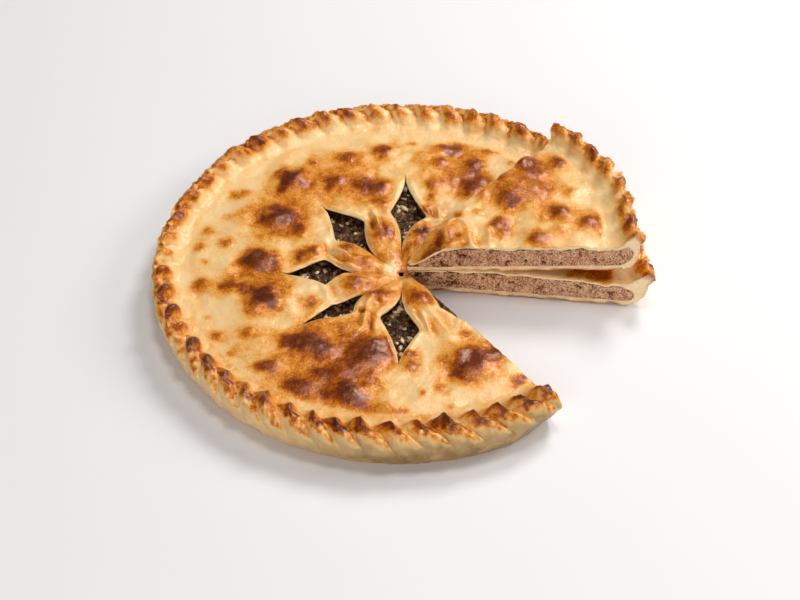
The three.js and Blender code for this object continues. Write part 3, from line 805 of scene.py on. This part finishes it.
class Rim:
    """The rim's skin at angles and rows, with what its relief and its browning both follow."""

    def __init__(self, portion, angle, row):
        twist = spline(RIM_TWIST, row) * CRIMP_PITCH
        angle = angle + twist * portion.away_from_cuts(angle, TWIST_FADE)
        beside_end = smooth(-CUT_LEAN_REACH, 0.0, angle - portion.end)
        angle = angle + portion.end_lean * band(CUT_LEAN_ROWS, row) * beside_end
        self.portion = portion
        self.angle = angle
        self.row = row
        self.radius, self.height = rim_place(portion, angle, row)
        self.still = polar(angle, self.radius, self.height)
        self.crimp, place = crimp_at(angle - twist)
        self.bold = portion.boldness(angle)
        self.front = smooth(*FRONT_BOLDNESS, self.bold)
        tooth = spline(RIM_TOOTH, row) * self.front
        lobe = crimp_lobe(place, spline(RIM_LEAN, row), spline(RIM_POINT, row), tooth)
        self.beside_cut = 1 - portion.away_from_cuts(angle, CUT_CRIMP_REACH)
        self.lobe = lobe + (CUT_CRIMP - lobe) * self.beside_cut
        self.near = smooth(*NEAR_ANGLES, angle)
        ragged = row + noise(self.still, *RIM_RAGS)
        self.lip_row = ragged + weigh(LIP_SLANT, self.near) * place
        self.lips = smooth(*LIP_LOBE, self.lobe) * band(LIP_ROWS, self.lip_row, row)
        self.top = band(TOP_ROWS, ragged, row)
        self.rough = noise(self.still, *RIM_ROUGH)
        self.patches = noise(self.still, *RIM_PATCHES)

    def points(self):
        press = self.portion.press(self.angle)
        crimped = crimp_strength[self.crimp] * self.lobe - CRIMP_SINK
        rise = spline(RIM_FOLD, self.row) * self.bold * crimped * (1 - CRIMP_PRESS * press)
        rise = rise + CUT_END_LIFT * self.portion.flare(self.angle) * band(CUT_LIFT_ROWS, self.row)
        rise = rise + weigh(LIP_RISE, self.rough) * self.lips + noise(self.still, *RIM_TOP_LUMPS) * self.top
        rise = rise + noise(self.still, *RIM_LUMPS) * band(RIM_LUMP_ROWS, self.row)
        sunk = RIM_PRESS * press * band(RIM_PRESS_ROWS, self.row)
        outward, upward = rim_facing(self.portion, self.angle, self.row)
        return polar(self.angle, self.radius + rise * outward, self.height + rise * upward - sunk)

    def brown(self):
        baked = weigh(RIM_BAKED, self.front)
        crest = band([back + (front - back) * self.front for back, front in CREST_ROWS], self.row)
        tips = smooth(*TIP_LOBE, self.lobe) * crest * baked
        face = smooth(*FACE_LOBE, self.lobe) * band(FACE_ROWS, self.row) * self.front
        # Creases between crimps are darkened as painted shade, added to the browning
        painted_crease_shade = (1 - smooth(*CREASE_SHADE_LOBE, self.lobe)) * self.top * (CREASE_SHADE_BOLDNESS - self.bold)
        brown = weigh(RIM_BROWN, baked * self.top, face, tips, painted_crease_shade, self.beside_cut * crest)
        spots = crimp_brown[self.crimp] + RIM_PATCH_BROWN * self.patches + noise(self.still, *RIM_FRECKLES)
        brown = brown + weigh(LIP_BROWN, self.rough) * self.lips + spots * self.top
        brown = brown + weigh(INNER_BROWN, self.front, self.patches) * smooth(*INNER_ROWS, self.row)
        under = 1 - smooth(*UNDER_ROWS, self.row)
        return brown * (1 - under) + under * UNDER_BROWN

    def wall_shade(self):
        """How much painted shade darkens the front wall below the lips, from 0 to 1: most near the viewer and
        towards the bottom.
        """
        wall = band(WALL_SHADE_ROWS, self.row, self.lip_row) * weigh(WALL_SHADE_BY_ROW, smooth(*WALL_SHADE_FADE_ROWS, self.row))
        return wall * self.front * weigh(WALL_SHADE_FAR, self.near) * weigh(WALL_SHADE_PATCHES, self.patches)


def fold_field(portion, points):
    """Rise of the folds at points on the lid; how far raised folds are paled, as stretched dough and as a
    painted highlight; and how far sunken folds are darkened as painted shade.
    """
    rise = np.zeros(points.shape[:-1])
    stretched = np.zeros(points.shape[:-1])
    painted_fold_shade = np.zeros(points.shape[:-1])
    for start, end, width, height in portion.folds:
        along = end - start
        offset = points[..., :2] - start
        share = np.clip((offset @ along) / (along @ along), 0, 1)
        distance = np.linalg.norm(offset - share[..., None] * along, axis=-1)
        shape = bump(distance, width) * np.sin(math.pi * np.clip(share, *FOLD_ENDS)) ** FOLD_FULLNESS
        rise += height * shape
        if height > 0:
            stretched = np.maximum(stretched, shape)
        else:
            painted_fold_shade = np.maximum(painted_fold_shade, shape)
    return rise, stretched, painted_fold_shade


def blister_field(portion, points):
    """Rise of the blisters at points on the lid, and how brown they are baked."""
    rise = np.zeros(points.shape[:-1])
    unbaked = np.ones(points.shape[:-1])
    bend, warp = (
        np.stack([noise(points, *uneven, shift) for shift in BLISTER_SHIFTS], axis=-1)
        for uneven in (BLISTER_BEND, BLISTER_WARP)
    )
    for place, radius, height, brown in portion.blisters:
        offset = points[..., :2] - place
        near = np.linalg.norm(offset + radius * bend, axis=-1) / radius
        rise += BLISTER_RISE * height * np.clip(1 - near ** 2, 0, 1) ** BLISTER_STEEPNESS
        near = np.linalg.norm(offset + radius * warp, axis=-1) / radius
        core = 1 - smooth(*BLISTER_CORE, near)
        halo = 1 - smooth(*BLISTER_HALO, near)
        unbaked *= 1 - brown * (BLISTER_CORE_SHARE * core + (1 - BLISTER_CORE_SHARE) * halo)
    return rise, 1 - unbaked


def golden_field(portion, points):
    golden = np.zeros(points.shape[:-1])
    wobble = noise(points, *GOLDEN_WOBBLE)
    for place, radius, brown in portion.golden:
        near = np.linalg.norm(points[..., :2] - place, axis=-1) / radius
        golden = np.maximum(golden, brown * (1 - smooth(*GOLDEN_REACH, near + wobble)))
    return golden


class Lid:
    """A sector of the lid at angles and rows. across runs from -1 to 1 between its edges, which are opened
    from 0 to 1."""

    def __init__(self, portion, angle, nominal, across, half_width, opened):
        self.portion = portion
        self.angle = angle
        self.nominal = nominal
        self.across = np.abs(across)
        rags = noise(polar(angle, STAR_HOLE_NOISE_RADIUS, 0.0), *STAR_HOLE_RAGS)
        radius = portion.lid_radius(nominal, angle) * (1 + rags * (1 - smooth(*STAR_HOLE_RADII, nominal)))
        self.flat = portion.shift_star(polar(angle, radius, LID_HEIGHT), angle, nominal)
        self.edge_distance = (1 - self.across) * half_width
        self.bare = np.where(across < 0, opened[0], opened[1])
        along = np.clip((nominal - PETAL_INNER_RADIUS) / (PETAL_OUTER_RADIUS - PETAL_INNER_RADIUS), 0, 1)
        self.petal = np.sin(along * math.pi) ** PETAL_FULLNESS
        self.knot = band(STAR_KNOT_RADII, nominal) * bump(angle - STAR_KNOT_ANGLE, STAR_KNOT_WIDTH)
        self.rim_join = smooth(*RIM_JOIN_RADII, nominal)
        self.blister_rise, self.baked = blister_field(portion, self.flat)
        self.fold_rise, self.stretched, self.painted_fold_shade = fold_field(portion, self.flat)

    def points(self):
        place = (self.portion, self.angle, self.nominal)
        arch = PETAL_ARCH * (1 - self.portion.press(self.angle))
        height = lid_level(*place) + arch * self.petal * (1 - self.across ** PETAL_ROUNDNESS)
        ridge = SLIT_LIP * bump(self.edge_distance - SLIT_LIP_DISTANCE, SLIT_LIP_WIDTH)
        rounding = SLIT_ROUNDING * bump(self.edge_distance, SLIT_ROUNDING_WIDTH)
        height = height + (ridge - rounding) * self.bare + STAR_KNOT_RISE * self.knot
        height = height + self.blister_rise + self.fold_rise
        height = height + band(PETAL_CRUMPLE_RADII, self.nominal) * noise(self.flat, *PETAL_CRUMPLE)
        height = height + noise(self.flat, *LID_DENTS) + noise(self.flat, *LID_GRAIN)
        height = height * (1 - self.rim_join) + lid_height(self.nominal) * self.rim_join
        points = self.flat.copy()
        points[..., 2] = np.maximum(height, lid_underside(*place) + LEAST_THICKNESS)
        return points

    def brown(self):
        mottle = noise(self.flat, *LID_MOTTLE)
        freckles = noise(self.flat, *LID_FRECKLES)
        golden = golden_field(self.portion, self.flat)
        brown = np.maximum(LID_BROWN, golden) + LID_MOTTLE_BROWN * mottle
        brown = brown + LID_FRECKLE_BROWN * freckles * smooth(*FRECKLED_GOLDEN, golden)
        patches = smooth(*PETAL_PATCH_LIMITS, noise(self.flat, *PETAL_PATCHES))
        inside = smooth(*PETAL_BROWN_DISTANCE, self.edge_distance + PETAL_BROWN_RAGS * freckles)
        brown = np.maximum(brown, weigh(PETAL_BROWN, patches) * self.petal * inside)
        brown = 1 - (1 - brown) * (1 - BLISTER_BROWN * self.baked)
        worn = np.clip(weigh(SLIT_EDGE_WEAR, freckles), 0, 1)
        pale = SLIT_EDGE_PALE * bump(self.edge_distance, SLIT_EDGE_WIDTH) * self.bare * worn
        # Raised folds are paled as stretched dough and as a painted highlight; sunken folds are browned as
        # painted shade
        brown = brown * (1 - pale) * (1 - FOLD_PALE * self.stretched) * (1 - self.knot)
        brown = brown + FOLD_CREASE_SHADE * self.painted_fold_shade
        front = smooth(*BORDER_BOLDNESS, self.portion.boldness(self.angle))
        return brown * (1 - self.rim_join) + weigh(BORDER_BROWN, front, mottle) * self.rim_join


def add_object(name, data):
    added = bpy.data.objects.new(name, data)
    bpy.context.scene.collection.objects.link(added)
    return added


class MeshParts:
    """Collects grids of points as one mesh, with how brown and cut it is at each point and the painted shade
    on its wall.
    """

    def __init__(self):
        self.points = []
        self.faces = []
        self.fields = {"brown": [], "cut": [], "wall_shade": []}
        self.count = 0

    def add_grid(self, points, brown=0.0, cut=0.0, wall_shade=0.0, flipped=False):
        shape = points.shape[:-1]
        index = self.count + np.arange(math.prod(shape)).reshape(shape)
        self.count += index.size
        self.points.append(points.reshape(-1, 3))
        for values, value in zip(self.fields.values(), (brown, cut, wall_shade)):
            values.append(np.broadcast_to(value, shape).reshape(-1))
        corners = [index[:-1, :-1], index[:-1, 1:], index[1:, 1:], index[1:, :-1]]
        if flipped:
            corners.reverse()
        self.faces.append(np.stack(corners, axis=-1).reshape(-1, 4))
        return index

    def zip_rows(self, lower, upper, flipped=False):
        """Joins two rows of point numbers that run side by side with triangles."""
        low = high = 0
        triangles = []
        while low < len(lower) - 1 or high < len(upper) - 1:
            if (low + 1) / (len(lower) - 1) <= (high + 1) / (len(upper) - 1):
                triangles.append((lower[low], lower[low + 1], upper[high]))
                low += 1
            else:
                triangles.append((lower[low], upper[high + 1], upper[high]))
                high += 1
        corners = np.array(triangles)
        if flipped:
            corners = corners[:, ::-1]
        self.faces.append(np.column_stack([corners, corners[:, 2]]))

    def build(self, name, place):
        points = place(np.concatenate(self.points)) * MM
        faces = np.concatenate(self.faces)
        is_triangle = faces[:, 2] == faces[:, 3]
        sizes = np.where(is_triangle, 3, 4)
        keep = np.ones(faces.shape, bool)
        keep[is_triangle, 3] = False
        mesh = bpy.data.meshes.new(name)
        mesh.vertices.add(len(points))
        mesh.vertices.foreach_set("co", points.reshape(-1))
        mesh.loops.add(int(sizes.sum()))
        mesh.loops.foreach_set("vertex_index", faces[keep])
        mesh.polygons.add(len(sizes))
        mesh.polygons.foreach_set("loop_start", np.concatenate([[0], np.cumsum(sizes)[:-1]]))
        mesh.update(calc_edges=True)
        for label, values in self.fields.items():
            attribute = mesh.attributes.new(label, "FLOAT", "POINT")
            attribute.data.foreach_set("value", np.concatenate(values).astype(np.float32))
        weld(mesh)
        return add_object(name, mesh)


def weld(mesh):
    """Joins a mesh's grids where their edges meet, and smooths it except at its sharp edges."""
    work = bmesh.new()
    work.from_mesh(mesh)
    bmesh.ops.remove_doubles(work, verts=work.verts, dist=WELD_DISTANCE)
    work.to_mesh(mesh)
    work.free()
    mesh.shade_smooth()
    mesh.set_sharp_from_angle(angle=SHARP_ANGLE)


def base_skin(angle):
    """Points of the underside and how brown they are. Its outermost row lies flat."""
    base = polar(angle, rows.base[:, None], 0.0)
    brown = BASE_BROWN + noise(base, *BASE_MOTTLE)
    base[:-1, :, 2] = np.clip(noise(base[:-1], *BASE_DENTS), 0, BASE_DENTS[0])
    return base, brown


def hollow(portion, angle, row, gap=0.0):
    """Points round the hollow's outside, which the rim closes. row counts the hollow's named rows."""
    wall, _, _, lid_edge = portion.radii(angle)
    inset, to_lid, height = (spline(values, row) for values in portion.hollow)
    radius = wall - inset + to_lid * (lid_edge - wall + inset)
    return polar(angle, radius - gap, np.maximum(height - gap, BASE_THICKNESS + gap))


def inner_skin(portion, angle):
    """Points of the dough's inside, against the filling."""
    base_angle, rim_angle, lid_angle = np.split(angle, [rows.rim_start, rows.lid_start])
    base = polar(base_angle, np.minimum(rows.base, HOLLOW_BASE_RADIUS)[:, None], BASE_THICKNESS)
    base[..., 2] = base_top(base)
    rim = hollow(portion, rim_angle, np.linspace(0, HOLLOW_LAST, RIM_ROWS)[:, None])
    nominal = rows.lid[:, None]
    lid = polar(lid_angle, portion.lid_radius(nominal, lid_angle), lid_underside(portion, lid_angle, nominal))
    lid = portion.shift_star(lid, lid_angle, nominal)
    return np.concatenate([base, rim, lid])


def side_direction(angle, sign):
    return polar(angle + 90.0, float(sign), 0.0)


def edge_ribs(outer, inner, share):
    """Points across the thickness of the dough at one of its edges."""
    share = share[None, :, None]
    return outer[:, None, :] * (1 - share) + inner[:, None, :] * share


def add_edge(parts, edge, angle, outer, inner, outer_brown, sign):
    """Closes the side of a sector where it is cut or slit open."""
    opened = edge.open_rows(rows)
    shown = opened.copy()
    shown[1:] |= opened[:-1]
    shown[:-1] |= opened[1:]
    outward = side_direction(angle, sign)[:, None, :]
    share = np.linspace(0, 1, (SLIT_RIBS if edge.cut is None else CUT_RIBS) + 1)
    points = edge_ribs(outer, inner, share)
    if edge.cut is None:
        width = slit_side(edge.slit, edge.side, rows.lid_radius)[0]
        swell = SLIT_SWELL * np.minimum(width, 1.0)[:, None] * np.sin(share * math.pi)
        # A slit's side wall is browned towards its lower edge as painted shade
        brown = (1 - share) * outer_brown[:, None] * SLIT_SIDE_BAKED + SLIT_SIDE_SHADE * share
        cut = SLIT_SIDE_CUT * share * np.ones((len(outer), 1))
    else:
        swell = (noise(points, *CRUMB_GRAIN) - CRUMB_SINK) * (share > 0)
        brown = np.broadcast_to(outer_brown[:, None], swell.shape)
        cut = smooth(0.0, CRUMB_SKIN, share + noise(points, *CRUMB_PATCHES))
        base = slice(0, rows.rim_start)
        cut[base] *= CRUMB_BASE + noise(points[base], *CRUMB_BASE_PATCHES)
    points = points + outward * swell[..., None]
    parts.add_grid(points[shown], brown[shown], cut[shown], flipped=sign > 0)


def add_sector(parts, portion, start_edge, end_edge):
    """Adds the dough between two edges: base, rim and lid outside, the hollow inside, and the bare edges."""
    start = start_edge.angles(rows)
    end = end_edge.angles(rows)
    columns = max(LEAST_COLUMNS, math.ceil((end[rows.lid_start] - start[rows.lid_start]) / RIM_COLUMN_STEP))

    def fan(row_part, column_share):
        share = np.linspace(0, 1, max(2, columns // column_share) + 1)
        return start[row_part, None] + (end - start)[row_part, None] * share

    base_rows = slice(0, rows.rim_start)
    rim_rows = slice(rows.rim_start, rows.lid_start)
    lid_rows = slice(rows.lid_start, None)
    base, base_brown = base_skin(fan(base_rows, BASE_COLUMN_SHARE))
    rim = Rim(portion, fan(rim_rows, 1), rows.rim[:, None])
    lid_angle = fan(lid_rows, LID_COLUMN_SHARE)
    across = np.linspace(-1, 1, lid_angle.shape[1])
    half_width = np.radians(end - start)[lid_rows, None] / 2 * rows.lid[:, None]
    opened = [edge.openness(rows)[lid_rows, None] for edge in (start_edge, end_edge)]
    lid = Lid(portion, lid_angle, rows.lid[:, None], across, half_width, opened)
    skins = [base, rim.points(), lid.points()]
    browns = [base_brown, rim.brown(), lid.brown()]
    inner = inner_skin(portion, fan(slice(None), INNER_COLUMN_SHARE))
    base_index, rim_index, lid_index = (
        parts.add_grid(skin, brown, wall_shade=wall_shade) for skin, brown, wall_shade in zip(skins, browns, (0.0, rim.wall_shade(), 0.0))
    )
    inner_index = parts.add_grid(inner, cut=1.0, flipped=True)
    parts.zip_rows(base_index[-1], rim_index[0])
    parts.zip_rows(rim_index[-1], lid_index[0])
    parts.zip_rows(base_index[0], inner_index[0], flipped=True)
    parts.zip_rows(lid_index[-1], inner_index[-1])
    for edge, angle, at, sign in ((start_edge, start, 0, -1), (end_edge, end, -1, 1)):
        outer, brown = (np.concatenate([part[:, at] for part in grids]) for grids in (skins, browns))
        add_edge(parts, edge, angle, outer, inner[:, at], brown, sign)


def stay(points):
    return points


def lay_slice(points):
    """Moves points of the uncut pie to where the slice lies."""
    laid = points @ turn("Z", -SLICE_MIDDLE).T
    laid[:, 1] *= SLICE_SPREAD
    return laid @ SLICE_TURN.T + SLICE_PLACE


def pie_crust():
    parts = MeshParts()
    start_edge = Edge(cut=PIE.start)
    for slit in SLITS:
        add_sector(parts, PIE, start_edge, Edge(slit=slit, side=-1))
        start_edge = Edge(slit=slit, side=1)
    add_sector(parts, PIE, start_edge, Edge(cut=PIE.end, slit=PIE_CUT_SLIT, side=-1))
    return parts.build("pie_crust_baked", stay)


def slice_crust():
    parts = MeshParts()
    add_sector(parts, SLICE, Edge(cut=SLICE.start, slit=SLICE_CUT_SLIT, side=1), Edge(cut=SLICE.end))
    return parts.build("slice_crust_baked", lay_slice)


# The filling

def filling_top(portion, angle, nominal):
    """Points of the top of the filling, lumpy where the star is open."""
    settle = FILLING_SETTLE * (1 - smooth(*FILLING_SETTLE_RADII, nominal))
    settle = settle * portion.away_from_cuts(angle, FILLING_SETTLE_FADE)
    height = lid_underside(portion, angle, nominal) - FIT_GAP - settle
    points = polar(angle, portion.lid_radius(nominal, angle), height)
    lumps = np.minimum(noise(points, *MINCE_LUMPS) + noise(points, *MINCE_WAVES), MINCE_HIGHEST)
    open_part = band(STAR_OPEN_RADII, nominal) * portion.away_from_cuts(angle, STAR_OPEN_FADE)
    points[..., 2] += lumps * open_part
    points[..., 2] = np.maximum(points[..., 2], BASE_THICKNESS + 2 * FIT_GAP)
    return points


def filling(portion, name, place):
    parts = MeshParts()
    columns = math.ceil((portion.end - portion.start) / FILLING_COLUMN_STEP)
    angle = np.linspace(portion.start, portion.end, columns + 1)
    nominal = np.arange(FILLING_CORE, LID_EDGE_RADIUS, FILLING_ROW_STEP)[:, None]
    top = filling_top(portion, angle, nominal)
    rim_row = np.linspace(HOLLOW_LAST, 0, FILLING_RIM_ROWS)[:, None]
    rim = hollow(portion, angle[None, :], rim_row, FIT_GAP)
    low = BASE_THICKNESS + FIT_GAP
    core = polar(angle, FILLING_CORE, low)[None]
    sheet = np.concatenate([top, rim])
    parts.add_grid(np.concatenate([sheet, core, top[:1]]), flipped=True)
    layer = np.linspace(0, 1, FILLING_LAYERS + 1)[:, None, None]
    for side, at in ((-1, 0), (1, -1)):
        upper = sheet[:, at]
        reach = np.hypot(upper[:, 0], upper[:, 1])
        reach[len(top):] = np.linspace(reach[len(top) - 1], reach[-1], FILLING_RIM_ROWS + 1)[1:]
        lower = polar(angle[at], reach, low)
        lower[:, 2] = np.minimum(base_top(lower) + FIT_GAP, upper[:, 2])
        face = lower[None] + (upper - lower)[None] * layer
        inside = np.ones(face.shape[:-1])
        inside[0] = inside[-1] = 0
        inside[:, 0] = inside[:, -1] = 0
        loose = MINCE_LOOSE * (1 - smooth(*MINCE_LOOSE_RADII, np.hypot(face[..., 0], face[..., 1])))
        gap = smooth(*MINCE_GAP_LIMITS, noise(face, *MINCE_GAPS) + loose)
        grain = noise(face, *MINCE_GRAIN) + noise(face, *MINCE_CLODS) - MINCE_GAP_DEPTH * gap
        face = face + side_direction(angle[at], side) * (grain * inside)[..., None]
        # The gaps go in as the mince's brown field, which its material darkens as painted shade
        parts.add_grid(face, gap * inside, 1.0, flipped=side < 0)
    return parts.build(name, place)


def opening_spots(random):
    """Places of bits on the filling in the star's openings."""
    for number in range(OPENING_BITS):
        slit = SLITS_SHOWN[number % len(SLITS_SHOWN)]
        radius = random.uniform(slit[3] + BIT_INNER_MARGIN, slit[1] - BIT_OUTER_MARGIN)
        (low, middle), (high, _) = (slit_side(slit, side, np.array([radius])) for side in (-1, 1))
        offset = random.uniform(-BIT_SPREAD * low[0], BIT_SPREAD * high[0])
        angle = middle[0] + math.degrees(offset / radius)
        yield filling_top(PIE, np.array([angle]), np.array([radius]))[0]


def cut_spots(random, cut, count):
    """Places of bits in the cut side of the filling."""
    for _ in range(count):
        height = random.uniform(*CUT_BIT_HEIGHTS)
        yield polar(cut, random.uniform(*CUT_BIT_RADII), height)


def onion_bits():
    """Pale bits of onion on the filling in the star's openings and in its cut sides."""
    random = np.random.default_rng(BITS_SEED)
    spots = [(point, BIT_SIZES) for point in opening_spots(random)]
    spots += [(point, CUT_BIT_SIZES) for point in cut_spots(random, PIE.start, CUT_BITS)]
    laid = lay_slice(np.array(list(cut_spots(random, SLICE.start, CUT_BITS))))
    spots += [(point, CUT_BIT_SIZES) for point in laid]
    work = bmesh.new()
    for point, sizes in spots:
        made = bmesh.ops.create_icosphere(work, subdivisions=2, radius=1.0)["verts"]
        shape = np.array(BIT_SHAPE) * random.uniform(*sizes) * random.uniform(*BIT_VARIATION, 3)
        spin = random.uniform(0, math.tau)
        for vert in made:
            bend = 1 + BIT_BEND * math.sin(vert.co.x * 3 + spin) * math.cos(vert.co.y * 4 - spin)
            x, y, z = np.array(vert.co) * shape * bend
            vert.co = (
                (point[0] + x * math.cos(spin) - y * math.sin(spin)) * MM,
                (point[1] + x * math.sin(spin) + y * math.cos(spin)) * MM,
                (point[2] + z + BIT_LIFT) * MM,
            )
    mesh = bpy.data.meshes.new("onion_bits")
    work.to_mesh(mesh)
    work.free()
    mesh.shade_smooth()
    return add_object("onion_bits", mesh)


# Materials

def linear(red, green, blue):
    """A colour named as it shows on a screen, 0 to 255, for a shader."""
    shown = np.array([red, green, blue]) / 255
    value = np.where(shown <= 0.04045, shown / 12.92, ((shown + 0.055) / 1.055) ** 2.4)
    return (*value, 1.0)


class Shader:
    """A material under construction, with short calls for the nodes it needs."""

    def __init__(self, name):
        self.material = bpy.data.materials.new(name)
        self.material.use_nodes = True
        self.tree = self.material.node_tree
        self.surface = self.tree.nodes["Principled BSDF"]
        self.place = self.node("TexCoord").outputs["Object"]

    def fill(self, socket, value):
        if isinstance(value, (int, float, tuple)):
            socket.default_value = value
        else:
            self.tree.links.new(value, socket)

    def fill_named(self, node, inputs):
        for label, value in inputs.items():
            self.fill(node.inputs[label.replace("_", " ")], value)

    def node(self, kind, **inputs):
        node = self.tree.nodes.new("ShaderNode" + kind)
        self.fill_named(node, inputs)
        return node

    def set(self, **inputs):
        self.fill_named(self.surface, inputs)

    def attribute(self, name):
        node = self.node("Attribute")
        node.attribute_name = name
        return node.outputs["Fac"]

    def noise(self, size, detail=2.0, roughness=0.5):
        node = self.node("TexNoise", Vector=self.place, Scale=1 / size, Detail=detail, Roughness=roughness)
        return node.outputs["Fac"]

    def cells(self, size):
        return self.node("TexVoronoi", Vector=self.place, Scale=1 / size).outputs["Distance"]

    def math(self, operation, first, second):
        node = self.node("Math")
        node.operation = operation
        self.fill(node.inputs[0], first)
        self.fill(node.inputs[1], second)
        return node.outputs[0]

    def add(self, first, *others):
        for other in others:
            first = self.math("ADD", first, other)
        return first

    def times(self, value, amount):
        return self.math("MULTIPLY", value, amount)

    def centred(self, value, amount):
        return self.times(self.math("SUBTRACT", value, 0.5), amount)

    def scaled(self, value, low, high, to_low, to_high):
        node = self.node("MapRange", Value=value, From_Min=low, From_Max=high, To_Min=to_low, To_Max=to_high)
        return node.outputs["Result"]

    def ramp(self, value, stops):
        node = self.node("ValToRGB", Fac=value)
        points = node.color_ramp.elements
        while len(points) < len(stops):
            points.new(0.5)
        for point, (place, colour) in zip(points, stops):
            point.position = place
            point.color = linear(*colour)
        return node.outputs["Color"]

    def mix(self, share, first, second):
        node = self.node("Mix")
        node.data_type = "RGBA"
        self.fill_named(node, {"Factor": share, "A": first, "B": second})
        return node.outputs["Result"]

    def bump(self, height, distance):
        self.set(Normal=self.node("Bump", Height=height, Distance=distance).outputs["Normal"])


def crust_material():
    shader = Shader("baked_crust")
    brown = shader.attribute("brown")
    cut = shader.attribute("cut")
    speckle = shader.noise(*SKIN_SPECKLE)
    blotch = shader.noise(*SKIN_BLOTCH)
    mottle = shader.noise(*SKIN_MOTTLE)
    strengths = ((speckle, 0.85), (blotch, 0.4), (mottle, 0.4))
    grain = shader.add(*(shader.centred(value, strength) for value, strength in strengths))
    baked = shader.add(brown, shader.times(grain, shader.scaled(brown, 0.05, 0.5, 0.2, 1.0)))
    skin = shader.ramp(baked, SKIN_COLOURS)
    # Painted shade on the front wall: the skin is mixed towards a dull dark dough colour
    skin = shader.mix(shader.attribute("wall_shade"), skin, shader.ramp(mottle, WALL_SHADE_COLOURS))
    pores = shader.add(shader.cells(CRUMB_PORE_SIZE), shader.times(speckle, 0.5))
    crumb = shader.ramp(pores, CRUMB_COLOURS)
    shader.set(Base_Color=shader.mix(cut, skin, crumb))
    shader.set(Roughness=shader.scaled(cut, 0.0, 1.0, 0.28, 0.8))
    shader.set(Subsurface_Weight=0.15, Subsurface_Radius=(1.0, 0.45, 0.2), Subsurface_Scale=0.002)
    shader.set(Specular_IOR_Level=0.75, Specular_Tint=(1.0, 0.56, 0.4, 1.0))
    shader.set(Coat_Weight=0.15, Coat_Roughness=0.26)
    fine = shader.add(shader.noise(SKIN_GRAIN_SIZE), shader.times(shader.noise(SKIN_PEBBLE_SIZE), 1.5))
    shader.bump(fine, SKIN_BUMP)
    return shader.material


def filling_material():
    shader = Shader("minced_filling")
    cut = shader.attribute("cut")
    grains = shader.cells(MINCE_GRAIN_SIZE)
    speckle = shader.noise(*MINCE_SPECKLE)
    blotch = shader.noise(MINCE_BLOTCH_SIZE)
    strengths = ((grains, 0.8), (speckle, 2.0), (blotch, 0.8))
    mixed = shader.add(*(shader.centred(value, strength) for value, strength in strengths), MINCE_TONE)
    mixed = shader.math("SUBTRACT", mixed, shader.times(shader.attribute("brown"), MINCE_GAP_SHADE))
    face = shader.ramp(mixed, MINCE_COLOURS)
    moist = shader.ramp(shader.noise(*MOIST_LUMPS), MOIST_COLOURS)
    shader.set(Base_Color=shader.mix(cut, moist, face))
    shader.set(Roughness=shader.scaled(cut, 0.0, 1.0, 0.16, 0.7))
    shader.set(Specular_IOR_Level=0.42, Specular_Tint=(1.0, 0.82, 0.68, 1.0))
    shader.bump(shader.add(grains, speckle), MINCE_BUMP)
    return shader.material


def onion_material():
    shader = Shader("cooked_onion")
    dark, light = (linear(*colour) for colour in ONION_COLOURS)
    shader.set(Base_Color=shader.mix(shader.noise(ONION_SPOT_SIZE), dark, light), Roughness=0.3)
    shader.set(Subsurface_Weight=0.3, Subsurface_Radius=(1.0, 0.8, 0.5), Subsurface_Scale=0.001)
    return shader.material


def floor_material():
    shader = Shader("pale_table")
    shader.set(Base_Color=linear(*GROUND_COLOUR), Roughness=0.65)
    return shader.material


# The scene

def add_camera():
    camera = bpy.data.cameras.new("camera")
    camera.sensor_fit = "HORIZONTAL"
    camera.sensor_width = SENSOR_WIDTH
    camera.lens = FOCAL_PIXELS / PICTURE_WIDTH * SENSOR_WIDTH
    camera.clip_end = CAMERA_RANGE
    holder = add_object("camera", camera)
    holder.location = (
        CAMERA_TARGET[0] * MM,
        (CAMERA_TARGET[1] - CAMERA_DISTANCE * math.cos(CAMERA_ELEVATION)) * MM,
        CAMERA_DISTANCE * math.sin(CAMERA_ELEVATION) * MM,
    )
    holder.rotation_euler = (math.pi / 2 - CAMERA_ELEVATION, 0, 0)
    bpy.context.scene.camera = holder


def add_light(name, place, size, energy, colour):
    light = bpy.data.lights.new(name, "AREA")
    light.shape = "DISK"
    light.size = size
    light.energy = energy
    light.color = colour
    holder = add_object(name, light)
    holder.location = place
    holder.rotation_euler = Vector(place).to_track_quat("Z", "Y").to_euler()


def add_lights():
    for light in LIGHTS:
        add_light(*light)
    world = bpy.data.worlds.new("studio")
    world.use_nodes = True
    background = world.node_tree.nodes["Background"]
    background.inputs["Color"].default_value = (1.0, 1.0, 1.0, 1.0)
    background.inputs["Strength"].default_value = WORLD_LIGHT
    bpy.context.scene.world = world


def add_floor():
    mesh = bpy.data.meshes.new("table")
    corners = [(GROUND_HALF * x, GROUND_HALF * y, 0) for x, y in ((-1, -1), (1, -1), (1, 1), (-1, 1))]
    mesh.from_pydata(corners, [], [(0, 1, 2, 3)])
    mesh.materials.append(floor_material())
    floor = add_object("table", mesh)
    floor.location.z = -GROUND_DROP


def dress(piece, node, material):
    piece.data.materials.append(material)
    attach(piece, "root")
    if node:
        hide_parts(node)


add_camera()
add_lights()
add_floor()
bpy.context.scene.view_settings.view_transform = "Standard"
crust_look = crust_material()
filling_look = filling_material()
dress(pie_crust(), "pie_crust", crust_look)
dress(slice_crust(), "slice_crust", crust_look)
dress(filling(PIE, "pie_filling_mince", stay), "pie_filling", filling_look)
dress(filling(SLICE, "slice_filling_mince", lay_slice), "slice_filling", filling_look)
dress(onion_bits(), None, onion_material())
